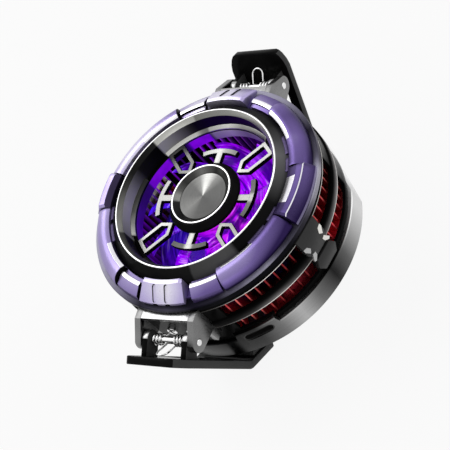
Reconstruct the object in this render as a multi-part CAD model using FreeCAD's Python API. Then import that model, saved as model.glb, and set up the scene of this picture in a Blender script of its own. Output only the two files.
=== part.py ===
import FreeCAD
import Part
import math
import os

# Clip-on phone cooler: a round cold plate lies on a phone's back, a fan draws air through a
# guarded mouth and blows it out between radial fins, and two sprung levers grip the phone.
# Millimetres. Origin: centre of the contact face. +Z runs along the fan's axis, away from the
# phone. +X runs along the hinge pins, +Y towards the upper clamp. Angles turn from +X about +Z.

# Contact side, from the phone outwards
pad_inset = 1.0
pad_thickness = 1.0
pad_stand = 0.6
cold_plate_boss_gap = 1.6
cold_plate_thickness = 2.0
gasket_corner_width = 3.8
gasket_setback = 0.4
peltier_thickness = 3.4
heatsink_gap = 1.3
heatsink_thickness = 1.8
heatsink_proud = 0.4
seat_clearance = 0.3

# Base housing
base_radius = 35.2
base_wall = 2.3
base_floor = 1.6
base_bevel = 0.6
base_flat_depth = 1.8
base_flat_angles = (40.0, 140.0)
boss_radius = 2.6
boss_inset = 3.7
boss_count = 4
screw_radius = 1.0
screw_head_overhang = 0.8
screw_head_height = 0.9
screw_head_sink = 0.2
screw_tip_gap = 0.3
screw_clearance = 0.05
socket_radius = 0.8
socket_depth = 0.5

# Charging port and its board
port_angle = -60.0
port_shell_width = 8.9
port_shell_height = 2.9
port_shell_depth = 6.8
port_shell_wall = 0.3
port_tongue_side_gap = 1.1
port_tongue_thickness = 0.7
port_tongue_setback = 1.4
port_setback = 0.3
port_drop = 1.7
port_housing_side = 2.05
port_housing_rim = 1.0
port_groove_depth = 0.3
port_groove_height = 0.5
board_thickness = 1.0
board_width = 13.0
board_depth = 5.6
board_post_radius = 0.8
chip_side = 2.0
chip_height = 1.0
chip_gap = 0.9

# Fins and cage
fin_count = 68
fin_thickness = 0.45
fin_length = 9.3
fin_front_gap = 2.3
fin_floor = 0.6
fin_cage_gap = 0.3
cage_setback = 1.2
cage_wall = 0.9
cage_height = 17.8
rib_height = 3.6
rib_proud = 0.5
rib_bevel = 0.6
front_row_height = 3.8
window_base_gap = 1.6
window_port_gap = 0.5
front_row_angles = ((-8.0, 24.0), (-62.0, -22.0), (156.0, 188.0), (202.0, 242.0))
rear_row_angles = ((-8.0, 24.0), (-49.0, -22.0), (156.0, 188.0), (202.0, 242.0))
port_window_angles = (-62.0, -49.0)
pillar_angles = (-15.0, 195.0)
pillar_half_width = 4.2
pillar_foot_inset = 1.6
pillar_proud = 1.0
pillar_corner_height = 3.0
pillar_gap = 0.1
hex_half_width = 4.2
hex_point = 1.4
hex_lift = 1.2
hex_front_gap = 0.8
hex_proud = 1.2

# Front ring
ring_inset = 0.9
ring_width = 5.3
ring_flange_overhang = 0.5
ring_flange_thickness = 1.0
ring_flange_skirt = 0.9
ring_core_inset = 1.6
ring_floor = 0.8
ring_height = 3.9
ring_band_height = 0.5
ring_round_inset = 3.5
ring_shoulder_inset = 1.2
ring_shoulder_drop = 1.0
ring_lip_width = 1.1
ring_lip_drop = 0.4
flat_drop = 2.1
flat_foot_inset = 0.5
flat_slope_drop = 1.5
flat_crest_width = 1.1
flat_ledge_drop = 0.8
block_rise = 0.8
side_block_overhang = 1.6
side_block_slope_width = 2.1
side_block_lip_width = 2.5
side_block_lip_drop = 1.1
slotted_block_overhang = 0.3
slotted_block_slope_width = 4.4
block_band_height = 0.95
block_end_chamfer = 0.6
block_seam_angle = 0.15
rounded_arc_angles = ((-58.0, -16.0), (13.0, 58.0), (122.0, 167.0), (196.0, 238.0))
flat_arc_angles = ((-74.5, -58.4), (58.4, 74.5), (105.5, 121.6), (238.4, 254.5))
side_block_angles = ((-16.0, 13.0), (167.0, 196.0))
slotted_block_angles = ((77.0, 103.0), (257.0, 283.0))
slot_width = 1.3
slot_pitch = 3.8
slot_depth = 0.5
slot_inner_margin = 1.95
slot_outer_margin = 0.9

# Intake funnel
collar_gap = 0.3
collar_slope_width = 1.2
collar_edge_drop = 2.6
collar_shoulder_drop = 1.5
rim_inset = 3.2
rim_land = 0.3
rim_rise = 1.2
rim_bevel_width = 1.1
rim_bevel_depth = 1.4
guard_step = 1.2
throat_depth = 2.2
throat_wall = 0.9
funnel_flange_thickness = 1.1
bar_width = 1.2
bar_height = 0.5
collar_arc_angles = ((11.0, 20.0), (23.0, 36.0), (144.0, 157.0), (160.0, 169.0),
                     (191.0, 200.0), (203.0, 216.0), (324.0, 337.0), (340.0, 349.0))
throat_arc_angles = ((14.0, 34.0), (56.0, 122.0), (146.0, 212.0), (236.0, 304.0))
bevel_width = 0.9
bevel_height = 1.6
bevel_drop = 1.7

# Guard and its hub
guard_ring_width = 1.0
guard_ring_height = 0.9
guard_fit = 0.05
guard_bar_height = 1.4
hub_foot_radius = 10.8
hub_foot_height = 0.9
hub_slope_width = 1.3
hub_height = 2.4
hub_wall = 1.1
hub_recess_depth = 1.3
hub_rim_inset = 0.3
hub_rim_land = 0.35
hub_rim_height = 0.4
hub_disc_inset = 1.2
hub_disc_thickness = 0.4
finger_count = 4
finger_stem_half_width = 1.0
finger_bar_gap = 3.8
finger_bar_half_width = 0.75
finger_bar_half_angle = 23.0
frame_half_width = 2.75
frame_bar_width = 0.9
frame_point_gap = 0.4
frame_point_half_angle = 45.0
frame_start_angle = 45.0

# Fan, motor and lights
fan_floor_gap = 1.2
fan_guard_gap = 2.85
fan_tip_gap = 0.8
fan_blade_count = 9
fan_hub_radius = 9.4
fan_hub_wall = 0.9
fan_blade_end_gap = 1.0
fan_blade_half_chord = 4.6
fan_blade_camber = 1.3
fan_blade_thickness = 0.8
fan_boss_wall = 1.0
fan_boss_height = 2.2
shaft_radius = 0.9
shaft_fit = 0.02
shaft_running_clearance = 0.03
shaft_foot_gap = 0.5
magnet_thickness = 1.0
magnet_front_gap = 2.7
motor_gap = 0.4
motor_flange_radius = 8.6
motor_flange_thickness = 0.8
motor_tube_wall = 0.7
motor_tube_gap = 1.1
motor_board_thickness = 0.6
bearing_wall = 1.3
bearing_foot_gap = 1.4
stator_pole_count = 4
stator_yoke_wall = 1.1
stator_pole_width = 2.2
stator_shoe_angle = 64.0
stator_shoe_thickness = 0.8
stator_end_gap = 1.0
coil_margin = 0.7
coil_clearance = 0.05
led_board_inner_gap = 0.8
led_board_outer_gap = 0.8
led_board_thickness = 0.8
led_count = 8
led_inset = 2.8
led_side = 2.2
led_height = 0.8
diffuser_fin_gap = 0.5
diffuser_inset = 3.6
diffuser_thickness = 0.8
diffuser_gap = 0.4

# Clamp brackets, pins and springs
pin_standoff = 4.2
pin_drop = 5.15
pin_radius = 1.0
pin_overhang = 0.2
pin_fixed_clearance = 0.02
pin_running_clearance = 0.05
bracket_half_width = 9.5
bracket_cover = 0.9
bracket_plate_height = 12.6
bracket_front_gap = 0.4
bracket_fit = 0.02
ear_thickness = 1.9
ear_wall = 1.8
ear_rear_drop = 4.0
ear_front_angle = 40.0
ear_rear_angle = -72.0
web_overhang = 1.8
web_thickness = 1.2
rivet_radius = 0.8
rivet_head_overhang = 0.7
rivet_head_height = 0.6
rivet_spread = 3.2
rivet_drop = 8.8
wire_diameter = 0.5
spring_pin_gap = 0.17
spring_coil_gap = 0.5
spring_lug_gap = 0.8
spring_loop_half_width = 1.6
spring_push_angle = 36.0
spring_tab_gap = 0.3
spring_seat_gap = 0.05
spring_sample_step = 0.1
straight_angle = 1.0

# Levers
lever_base_gap = 0.58
lever_inset = 0.15
lever_thickness = 2.2
lever_ear_gap = 1.7
lever_front_length = 8.45
lever_corner_width = 2.85
lever_corner_length = 5.1
bend_drop = 5.78
hook_bend_angle = 32.4
hook_length = 12.0
window_leg_width = 2.9
window_front_gap = 3.5
window_rear_gap = 3.0
lug_wall = 1.4
lug_shoulder = 0.1
lug_thickness = 1.8
lug_ear_gap = 0.3
jaw_pad_thickness = 1.2
jaw_pad_margin = 1.0
jaw_pad_side_gap = 0.95

overrun = 1.0

# Radii, from the housing inwards
base_inner_radius = base_radius - base_wall
base_flat_distance = base_radius - base_flat_depth
boss_circle_radius = base_inner_radius - boss_inset
screw_head_radius = screw_radius + screw_head_overhang
cold_plate_radius = boss_circle_radius - boss_radius - cold_plate_boss_gap
pad_radius = cold_plate_radius - pad_inset
peltier_side = (cold_plate_radius - gasket_corner_width) * math.sqrt(2)
heatsink_radius = base_inner_radius - heatsink_gap
port_radius = base_radius - port_setback
cage_radius = base_radius - cage_setback
cage_inner_radius = cage_radius - cage_wall
fin_outer_radius = cage_inner_radius - fin_cage_gap
fin_inner_radius = fin_outer_radius - fin_length
ring_radius = cage_radius - ring_inset
ring_flange_radius = cage_radius + ring_flange_overhang
ring_inner_radius = ring_radius - ring_width
ring_round_radius = ring_radius - ring_round_inset
ring_shoulder_radius = ring_radius - ring_shoulder_inset
ring_lip_radius = ring_inner_radius + ring_lip_width
flat_crest_radius = ring_lip_radius + flat_crest_width
side_block_radius = ring_radius + side_block_overhang
side_block_crest_radius = side_block_radius - side_block_slope_width
slotted_block_radius = ring_radius + slotted_block_overhang
slotted_block_crest_radius = slotted_block_radius - slotted_block_slope_width
slot_start_radius = ring_inner_radius + slot_inner_margin
slot_end_radius = slotted_block_radius - slot_outer_margin
collar_radius = ring_inner_radius - collar_gap
collar_shoulder_radius = collar_radius - collar_slope_width
bar_inner_radius = ring_inner_radius - bar_width
rim_radius = collar_radius - rim_inset
rim_bevel_radius = rim_radius - rim_bevel_width
throat_radius = rim_bevel_radius - guard_step
fan_radius = throat_radius - fan_tip_gap
diffuser_radius = fin_inner_radius - diffuser_fin_gap
led_board_radius = diffuser_radius - diffuser_thickness - led_board_outer_gap
led_circle_radius = led_board_radius - led_inset
led_board_inner_radius = motor_flange_radius + led_board_inner_gap
diffuser_inner_radius = led_circle_radius - diffuser_inset
hub_crown_radius = hub_foot_radius - hub_slope_width
hub_recess_radius = hub_crown_radius - hub_wall
hub_rim_radius = hub_crown_radius - hub_rim_inset
hub_disc_radius = hub_recess_radius - hub_disc_inset
finger_bar_radius = hub_foot_radius + finger_bar_gap
frame_point_radius = hub_foot_radius + frame_point_gap
fan_boss_radius = shaft_radius + fan_boss_wall
bearing_radius = shaft_radius + bearing_wall
motor_tube_radius = bearing_radius + motor_tube_wall
stator_yoke_radius = motor_tube_radius + stator_yoke_wall

# Levels along the axis, all from the contact face
base_rear = pad_stand
floor_top = base_rear + base_floor
cold_plate_rear = pad_thickness
peltier_rear = cold_plate_rear + cold_plate_thickness
heatsink_rear = peltier_rear + peltier_thickness
heatsink_front = heatsink_rear + heatsink_thickness
base_top = heatsink_front - heatsink_proud
port_level = base_top - port_drop
port_housing_front = port_level + port_shell_height + port_housing_rim
cage_top = base_top + cage_height
flange_front = cage_top + ring_flange_thickness
block_seat = flange_front + ring_floor
ring_front = flange_front + ring_height
rim_level = ring_front + rim_rise
funnel_flange_rear = cage_top - funnel_flange_thickness
fin_top = funnel_flange_rear - fin_front_gap
rib_front = fin_top - front_row_height
rib_rear = rib_front - rib_height
guard_seat = cage_top - funnel_flange_thickness / 2
guard_front = guard_seat + guard_bar_height
hub_front = guard_seat + hub_height
motor_seat = heatsink_front + motor_flange_thickness
led_seat = heatsink_front + led_board_thickness
diffuser_rear = led_seat + led_height + diffuser_gap
fan_rear = diffuser_rear + diffuser_thickness + fan_floor_gap
fan_front = guard_seat - fan_guard_gap
motor_tube_front = fan_front - fan_hub_wall - fan_boss_height - motor_tube_gap
magnet_height = fan_front - fan_rear - fan_hub_wall - magnet_front_gap

# Places about the hinge pins
bracket_plate_reach = cage_radius + rib_proud + bracket_cover
web_reach = bracket_plate_reach + web_overhang
pin_reach = bracket_plate_reach + pin_standoff
pin_level = cage_top - bracket_front_gap - pin_drop
ear_tip_radius = pin_radius + ear_wall
ear_inner_half_width = bracket_half_width - ear_thickness
lug_radius = pin_radius + lug_wall
lug_half_height = lug_radius + lug_shoulder
lug_outer_half_width = ear_inner_half_width - lug_ear_gap
rivet_head_radius = rivet_radius + rivet_head_overhang
lever_half_width = bracket_half_width - lever_inset
lever_inner_offset = ear_tip_radius + lever_ear_gap
lever_offset = lever_inner_offset + lever_thickness
jaw_pad_half_width = lever_half_width - jaw_pad_side_gap
spring_radius = pin_radius + wire_diameter / 2 + spring_pin_gap
spring_pitch = wire_diameter + spring_coil_gap
spring_half_span = lug_outer_half_width - lug_thickness - spring_lug_gap
spring_turns = int((spring_half_span - spring_loop_half_width) / spring_pitch)

# The closed lever passes the housing's rear corner, which sets its lean about the pin
corner_reach = pin_reach - base_radius
corner_depth = pin_level - base_rear
corner_distance = math.hypot(corner_reach, corner_depth)
corner_angle = math.atan2(corner_reach, corner_depth)
lever_lean = corner_angle + math.asin((lever_inner_offset - lever_base_gap) / corner_distance)
lever_rear_length = (pin_level + bend_drop - lever_offset * math.sin(lever_lean)) / math.cos(lever_lean)


def vec(x, y, z):
    return FreeCAD.Vector(x, y, z)


def polar(radius, angle, z=0):
    a = math.radians(angle)
    return vec(radius * math.cos(a), radius * math.sin(a), z)


def spun(shape, angle):
    """A copy turned about the fan's axis."""
    copy = shape.copy()
    copy.rotate(vec(0, 0, 0), vec(0, 0, 1), angle)
    return copy


def closed_wire(points):
    return Part.makePolygon(points + points[:1])


def turned(outline, start=0.0, sweep=360.0):
    """Revolve (radius, level) points about the axis, from one angle through a sweep."""
    face = Part.Face(closed_wire([vec(r, 0, z) for r, z in outline]))
    solid = face.revolve(vec(0, 0, 0), vec(0, 0, 1), sweep)
    return spun(solid, start)


def turned_face(face, start, end):
    return spun(face.revolve(vec(0, 0, 0), vec(0, 0, 1), end - start), start)


def ring(inner, outer, low, high, start=0.0, sweep=360.0):
    return turned([(inner, low), (outer, low), (outer, high), (inner, high)], start, sweep)


def disc(radius, low, high):
    return Part.makeCylinder(radius, high - low, vec(0, 0, low))


def rod_at(x, y, radius, low, high):
    return Part.makeCylinder(radius, high - low, vec(x, y, low))


def block(x0, x1, y0, y1, z0, z1):
    return Part.makeBox(x1 - x0, y1 - y0, z1 - z0, vec(x0, y0, z0))


def rod_x(y, z, radius, x0, x1):
    return Part.makeCylinder(radius, x1 - x0, vec(x0, y, z), vec(1, 0, 0))


def slab_x(outline, x0, x1):
    """Extrude a (y, z) outline along X."""
    face = Part.Face(closed_wire([vec(x0, y, z) for y, z in outline]))
    return face.extrude(vec(x1 - x0, 0, 0))


def radial_plate(outline, inner, outer, angle):
    """Extrude a (tangential, level) outline outwards from one radius to another."""
    face = Part.Face(closed_wire([vec(inner, t, z) for t, z in outline]))
    return spun(face.extrude(vec(outer - inner, 0, 0)), angle)


def group(shapes):
    return Part.makeCompound(shapes)


def fused(shapes):
    return shapes[0].multiFuse(shapes[1:]).removeSplitter()


def make_contact_pad():
    return disc(pad_radius, 0, pad_thickness)


def make_cold_plate():
    return disc(cold_plate_radius, cold_plate_rear, peltier_rear)


def square(side, low, high):
    return block(-side / 2, side / 2, -side / 2, side / 2, low, high)


def make_peltier_module():
    return square(peltier_side, peltier_rear, heatsink_rear)


def make_peltier_gasket():
    top = heatsink_rear - gasket_setback
    hole = square(peltier_side + 2 * seat_clearance, peltier_rear - overrun, top + overrun)
    return disc(cold_plate_radius, peltier_rear, top).cut(hole)


def boss_places():
    step = 360.0 / boss_count
    return [polar(boss_circle_radius, step * i) for i in range(boss_count)]


def port_frame_box(depth, width, low, high, outer=None):
    """A box at the port, reaching inwards from a radius along the port's own direction."""
    outer = port_radius if outer is None else outer
    return spun(block(outer - depth, outer, -width / 2, width / 2, low, high), port_angle)


def port_housing_body():
    low = port_level - port_housing_rim
    width = port_shell_width + 2 * port_housing_side
    reach = base_radius + overrun
    body = port_frame_box(base_wall + 2 * overrun, width, low, port_housing_front, reach)
    return body.cut(disc(base_inner_radius, low - overrun, port_housing_front + overrun))


def rounded_slot(width, height, depth, outer):
    """A flat-topped slot with round ends, lying along the port's direction."""
    radius = height / 2
    level = port_level + port_shell_height / 2
    reach = width / 2 - radius
    shapes = [block(outer - depth, outer, -reach, reach, level - radius, level + radius)]
    for side in (-reach, reach):
        shapes.append(Part.makeCylinder(radius, depth, vec(outer - depth, side, level), vec(1, 0, 0)))
    return spun(fused(shapes), port_angle)


def make_base_housing():
    outer = [
        (cold_plate_radius + seat_clearance, base_rear),
        (base_radius - base_bevel, base_rear),
        (base_radius, base_rear + base_bevel),
        (base_radius, base_top),
        (base_inner_radius, base_top),
        (base_inner_radius, floor_top),
        (cold_plate_radius + seat_clearance, floor_top),
    ]
    body = turned(outer)
    foot = floor_top - base_floor / 2
    bosses = [rod_at(p.x, p.y, boss_radius, foot, heatsink_rear) for p in boss_places()]
    posts = []
    for side in (-1, 1):
        tangent = side * (board_width / 2 - board_post_radius)
        post = rod_at(board_centre_radius(), tangent, board_post_radius, foot, board_rear())
        posts.append(spun(post, port_angle))
    body = fused([body] + bosses + posts)
    for place in boss_places():
        body = body.cut(rod_at(place.x, place.y, screw_radius + screw_clearance, 0, heatsink_front))
        recess_radius = screw_head_radius + screw_clearance
        body = body.cut(rod_at(place.x, place.y, recess_radius, 0, screw_head_front()))
    for angle in base_flat_angles:
        far = base_radius + overrun
        body = body.cut(spun(block(base_flat_distance, far, -far, far, 0, base_top + overrun), angle))
    return body.cut(port_housing_body())


def screw_head_front():
    return base_rear + screw_head_sink + screw_head_height


def make_base_screws():
    screws = []
    head_top = screw_head_front()
    tip = heatsink_front - screw_tip_gap
    for place in boss_places():
        head = rod_at(place.x, place.y, screw_head_radius, head_top - screw_head_height, head_top)
        shank = rod_at(place.x, place.y, screw_radius, head_top - screw_head_height, tip)
        socket_low = head_top - screw_head_height - overrun
        socket = rod_at(place.x, place.y, socket_radius, socket_low, socket_low + overrun + socket_depth)
        screws.append(head.fuse(shank).cut(socket))
    return group(screws)


def make_port_housing():
    body = port_housing_body()
    low = base_rear
    body = body.common(disc(base_radius, low, port_housing_front + overrun))
    slot = rounded_slot(port_shell_width, port_shell_height, port_shell_depth, base_radius + overrun)
    body = body.cut(slot)
    groove_low = port_level - port_housing_rim + port_groove_height
    groove = ring(base_radius - port_groove_depth, base_radius + overrun,
                  groove_low, groove_low + port_groove_height)
    return body.cut(groove)


def make_port_shell():
    shell = rounded_slot(port_shell_width, port_shell_height, port_shell_depth, port_radius)
    inner_width = port_shell_width - 2 * port_shell_wall
    inner_height = port_shell_height - 2 * port_shell_wall
    outer = port_radius + port_shell_wall
    return shell.cut(rounded_slot(inner_width, inner_height, port_shell_depth, outer))


def make_port_tongue():
    level = port_level + port_shell_height / 2
    half = port_tongue_thickness / 2
    width = port_shell_width - 2 * port_tongue_side_gap
    depth = port_shell_depth - port_tongue_setback
    back = port_radius - port_shell_depth + 2 * port_shell_wall
    return port_frame_box(depth, width, level - half, level + half, back + depth)


def board_rear():
    return port_level - board_thickness


def board_centre_radius():
    return base_inner_radius - seat_clearance - board_depth / 2


def make_control_board():
    outer = base_inner_radius - seat_clearance
    board = port_frame_box(board_depth, board_width, board_rear(), port_level, outer)
    board = board.common(disc(outer, board_rear(), port_level))
    return board


def make_board_chips():
    chips = []
    half = chip_side / 2
    pitch = board_width / 2 - 2 * board_post_radius - half - chip_gap
    low = board_rear() - chip_height
    for i in (-1, 0, 1):
        chip = block(board_centre_radius() - half, board_centre_radius() + half,
                     i * pitch - half, i * pitch + half, low, board_rear())
        chips.append(spun(chip, port_angle))
    return group(chips)


def port_room():
    """The space kept clear of the fins and their plate around the port."""
    depth = port_shell_depth + seat_clearance
    width = port_shell_width + 2 * seat_clearance
    low = port_level - seat_clearance
    high = port_level + port_shell_height + seat_clearance
    return port_frame_box(depth, width, low, high)


def make_heatsink_plate():
    plate = disc(heatsink_radius, heatsink_rear, heatsink_front)
    for place in boss_places():
        plate = plate.cut(rod_at(place.x, place.y, screw_radius + screw_clearance,
                                 heatsink_rear, heatsink_front - screw_tip_gap))
    return plate.cut(port_room())


def make_fin_ring():
    floor = ring(fin_inner_radius, fin_outer_radius, heatsink_front, heatsink_front + fin_floor)
    fin = block(fin_inner_radius, fin_outer_radius, -fin_thickness / 2, fin_thickness / 2,
                heatsink_front, fin_top)
    fins = [spun(fin, 360.0 * i / fin_count) for i in range(fin_count)]
    body = floor.multiFuse(fins)
    return body.cut(port_room())


def make_cage():
    wall = ring(cage_inner_radius, cage_radius, base_top, cage_top)
    proud = cage_radius + rib_proud
    rib = turned([
        (cage_inner_radius, rib_rear),
        (proud - rib_bevel, rib_rear),
        (proud, rib_rear + rib_bevel),
        (proud, rib_front - rib_bevel),
        (proud - rib_bevel, rib_front),
        (cage_inner_radius, rib_front),
    ])
    body = wall.fuse(rib)
    inner = cage_inner_radius - overrun
    outer = cage_radius + overrun
    cuts = []
    for start, end in front_row_angles:
        cuts.append(ring(inner, outer, rib_front, rib_front + front_row_height, start, end - start))
    for start, end in rear_row_angles:
        cuts.append(ring(inner, outer, base_top + window_base_gap, rib_rear, start, end - start))
    start, end = port_window_angles
    cuts.append(ring(inner, outer, port_housing_front + window_port_gap, rib_rear, start, end - start))
    cuts.append(port_housing_body())
    for x, z in rivet_places():
        cuts.append(rod_y(x, z, rivet_radius + bracket_fit, -cage_radius - overrun, cage_radius + overrun))
    return body.cut(group(cuts))


def make_pillars(cage):
    top = cage_top - ring_flange_skirt - pillar_gap
    foot = rib_rear
    shoulder = foot + pillar_corner_height
    foot_half_width = pillar_half_width - pillar_foot_inset
    outline = [
        (-pillar_half_width, top),
        (pillar_half_width, top),
        (pillar_half_width, shoulder),
        (foot_half_width, foot),
        (-foot_half_width, foot),
        (-pillar_half_width, shoulder),
    ]
    outer = cage_radius + pillar_proud
    plates = [radial_plate(outline, cage_inner_radius, outer, a) for a in pillar_angles]
    core = disc(cage_radius, base_top, cage_top)
    return group([plate.cut(core).cut(cage) for plate in plates])


def make_hex_plates():
    low = base_top + hex_lift
    high = rib_rear - hex_front_gap
    middle = (low + high) / 2
    flat = hex_half_width - hex_point
    outline = [
        (-hex_half_width, middle),
        (-flat, high),
        (flat, high),
        (hex_half_width, middle),
        (flat, low),
        (-flat, low),
    ]
    core = disc(cage_radius, base_top, cage_top)
    outer = cage_radius + hex_proud
    return group([radial_plate(outline, cage_inner_radius, outer, a).cut(core) for a in pillar_angles])


def rounded_ring_face():
    """Section of the ring's rounded arcs: a quarter round, a narrow crest and a lip sloping to the bore."""
    start = vec(ring_radius, 0, flange_front + ring_band_height)
    middle = vec(ring_shoulder_radius, 0, ring_front - ring_shoulder_drop)
    crest = vec(ring_round_radius, 0, ring_front)
    lip = vec(ring_lip_radius, 0, ring_front)
    inner = vec(ring_inner_radius, 0, ring_front - ring_lip_drop)
    inner_low = vec(ring_inner_radius, 0, flange_front)
    outer_low = vec(ring_radius, 0, flange_front)
    edges = [
        Part.makeLine(outer_low, start),
        Part.Arc(start, middle, crest).toShape(),
        Part.makeLine(crest, lip),
        Part.makeLine(lip, inner),
        Part.makeLine(inner, inner_low),
        Part.makeLine(inner_low, outer_low),
    ]
    return Part.Face(Part.Wire(edges))


def flat_ring_outline():
    crest = ring_front - flat_drop
    return [
        (ring_inner_radius, flange_front),
        (ring_radius, flange_front),
        (ring_radius - flat_foot_inset, crest - flat_slope_drop),
        (flat_crest_radius, crest),
        (ring_lip_radius, crest),
        (ring_lip_radius, crest - flat_ledge_drop),
        (ring_inner_radius, crest - flat_ledge_drop),
    ]


def block_outline(outer, crest_radius, lip_width, lip_drop):
    crest = ring_front + block_rise
    return [
        (ring_inner_radius, block_seat),
        (outer, block_seat),
        (outer, block_seat + block_band_height),
        (crest_radius, crest),
        (ring_inner_radius + lip_width, crest),
        (ring_inner_radius, crest - lip_drop),
    ]


def make_front_ring():
    shapes = [ring(ring_inner_radius, ring_radius - ring_core_inset, flange_front, block_seat)]
    for start, end in side_block_angles + slotted_block_angles:
        shapes.append(ring(ring_inner_radius, ring_radius, flange_front, block_seat, start, end - start))
    for start, end in rounded_arc_angles:
        shapes.append(turned_face(rounded_ring_face(), start, end))
    for start, end in flat_arc_angles:
        shapes.append(turned(flat_ring_outline(), start, end - start))
    return fused(shapes)


def end_wedge(angle, side, outer):
    """Cuts the front edge off a block's end; side is +1 where the block lies ahead of it."""
    top = ring_front + block_rise
    outline = [
        (-side * overrun, top - block_end_chamfer - overrun),
        (side * (block_end_chamfer + overrun), top + overrun),
        (-side * overrun, top + overrun),
    ]
    return radial_plate(outline, ring_inner_radius - overrun, outer + overrun, angle)


def raised_block(start, end, outline, outer):
    sweep = end - start - 2 * block_seam_angle
    shape = turned(outline, start + block_seam_angle, sweep)
    shape = shape.cut(end_wedge(start, 1, outer))
    return shape.cut(end_wedge(end, -1, outer))


def make_side_blocks():
    outer = side_block_radius
    outline = block_outline(outer, side_block_crest_radius, side_block_lip_width, side_block_lip_drop)
    return group([raised_block(start, end, outline, outer) for start, end in side_block_angles])


def block_slot(angle, offset):
    low = block_seat
    high = ring_front + block_rise + overrun
    half = slot_width / 2
    middle = block(slot_start_radius, slot_end_radius, offset - half, offset + half, low, high)
    ends = [rod_at(r, offset, half, low, high) for r in (slot_start_radius, slot_end_radius)]
    return spun(fused([middle] + ends), angle)


def make_slotted_blocks():
    outer = slotted_block_radius
    outline = block_outline(outer, slotted_block_crest_radius, 0, 0)
    blocks = []
    for start, end in slotted_block_angles:
        shape = raised_block(start, end, outline, outer)
        floor = shape.copy()
        floor.translate(vec(0, 0, -slot_depth))
        for side in (-1, 1):
            shape = shape.cut(block_slot((start + end) / 2, side * slot_pitch / 2).cut(floor))
        blocks.append(shape)
    return group(blocks)


def make_ring_flange():
    plate = ring(ring_inner_radius, ring_flange_radius, cage_top, flange_front)
    low = cage_top - ring_flange_skirt
    skirt = ring(cage_radius, ring_flange_radius, low, cage_top)
    half = bracket_half_width + seat_clearance
    far = ring_flange_radius + overrun
    return plate.fuse(skirt.cut(block(-half, half, -far, far, low - overrun, cage_top)))


def make_funnel():
    flange_outer = cage_inner_radius - seat_clearance
    return turned([
        (throat_radius, cage_top - throat_depth),
        (throat_radius + throat_wall, cage_top - throat_depth),
        (throat_radius + throat_wall, funnel_flange_rear),
        (flange_outer, funnel_flange_rear),
        (flange_outer, cage_top),
        (collar_radius, cage_top),
        (collar_radius, rim_level - collar_edge_drop - collar_shoulder_drop / 2),
        (collar_shoulder_radius, rim_level - collar_shoulder_drop),
        (rim_radius + rim_land, rim_level),
        (rim_radius, rim_level),
        (rim_bevel_radius, rim_level - rim_bevel_depth),
        (rim_bevel_radius, guard_seat),
        (throat_radius, guard_seat),
    ])


def make_collar_bars(funnel):
    top = rim_level - collar_shoulder_drop - bar_height
    bars = []
    for start, end in collar_arc_angles:
        outer = ring_inner_radius - guard_fit
        bar = ring(bar_inner_radius, outer, cage_top + overrun, top, start, end - start)
        bars.append(bar.cut(funnel))
    return group(bars)


def make_throat_bevels():
    outer = rim_bevel_radius - guard_fit
    high = rim_level - rim_bevel_depth - bevel_drop
    low = high - bevel_height
    segments = []
    for start, end in throat_arc_angles:
        outline = [(outer, low), (outer, high), (outer - bevel_width, low)]
        segments.append(turned(outline, start, end - start))
    return group(segments)


def guard_finger(angle):
    """A stem from the hub with a curved crossbar at its end."""
    stem = block(hub_crown_radius, finger_bar_radius, -finger_stem_half_width, finger_stem_half_width,
                 guard_seat, guard_front)
    bar = ring(finger_bar_radius - finger_bar_half_width, finger_bar_radius + finger_bar_half_width,
               guard_seat, guard_front, -finger_bar_half_angle, 2 * finger_bar_half_angle)
    return spun(stem.fuse(bar), angle)


def guard_frame(angle):
    """A hollow frame from the funnel's wall to the hub, pointed at its inner end."""
    reach = rim_bevel_radius - guard_fit - guard_ring_width / 2
    slant = math.radians(frame_point_half_angle)

    def outline(inset):
        half = frame_half_width - inset
        tip = frame_point_radius - frame_bar_width + inset / math.sin(slant)
        shoulder = tip + half / math.tan(slant)
        return [
            (reach, -half),
            (shoulder, -half),
            (tip, 0),
            (shoulder, half),
            (reach, half),
        ]

    def prism(points):
        face = Part.Face(closed_wire([vec(x, y, guard_seat) for x, y in points]))
        return face.extrude(vec(0, 0, guard_bar_height))

    return spun(prism(outline(0)).cut(prism(outline(frame_bar_width))), angle)


def make_guard():
    hub = turned([
        (0, guard_seat),
        (hub_foot_radius, guard_seat),
        (hub_foot_radius, guard_seat + hub_foot_height),
        (hub_crown_radius, hub_front),
        (hub_recess_radius, hub_front),
        (hub_recess_radius, hub_front - hub_recess_depth),
        (0, hub_front - hub_recess_depth),
    ])
    outer = rim_bevel_radius - guard_fit
    rim = ring(outer - guard_ring_width, outer, guard_seat, guard_seat + guard_ring_height)
    step = 360.0 / finger_count
    fingers = [guard_finger(step * i) for i in range(finger_count)]
    frames = [guard_frame(frame_start_angle + step * i) for i in range(finger_count)]
    return fused([hub, rim] + fingers + frames)


def make_hub_rim():
    floor = hub_front - hub_recess_depth
    disc_top = floor + hub_disc_thickness
    return turned([
        (hub_disc_radius + guard_fit, floor),
        (hub_recess_radius - guard_fit, floor),
        (hub_recess_radius - guard_fit, hub_front),
        (hub_rim_radius, hub_front),
        (hub_rim_radius, hub_front + hub_rim_height),
        (hub_rim_radius - hub_rim_land, hub_front + hub_rim_height),
        (hub_disc_radius + guard_fit, disc_top),
    ])


def make_hub_disc():
    floor = hub_front - hub_recess_depth
    return disc(hub_disc_radius, floor, floor + hub_disc_thickness)


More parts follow.
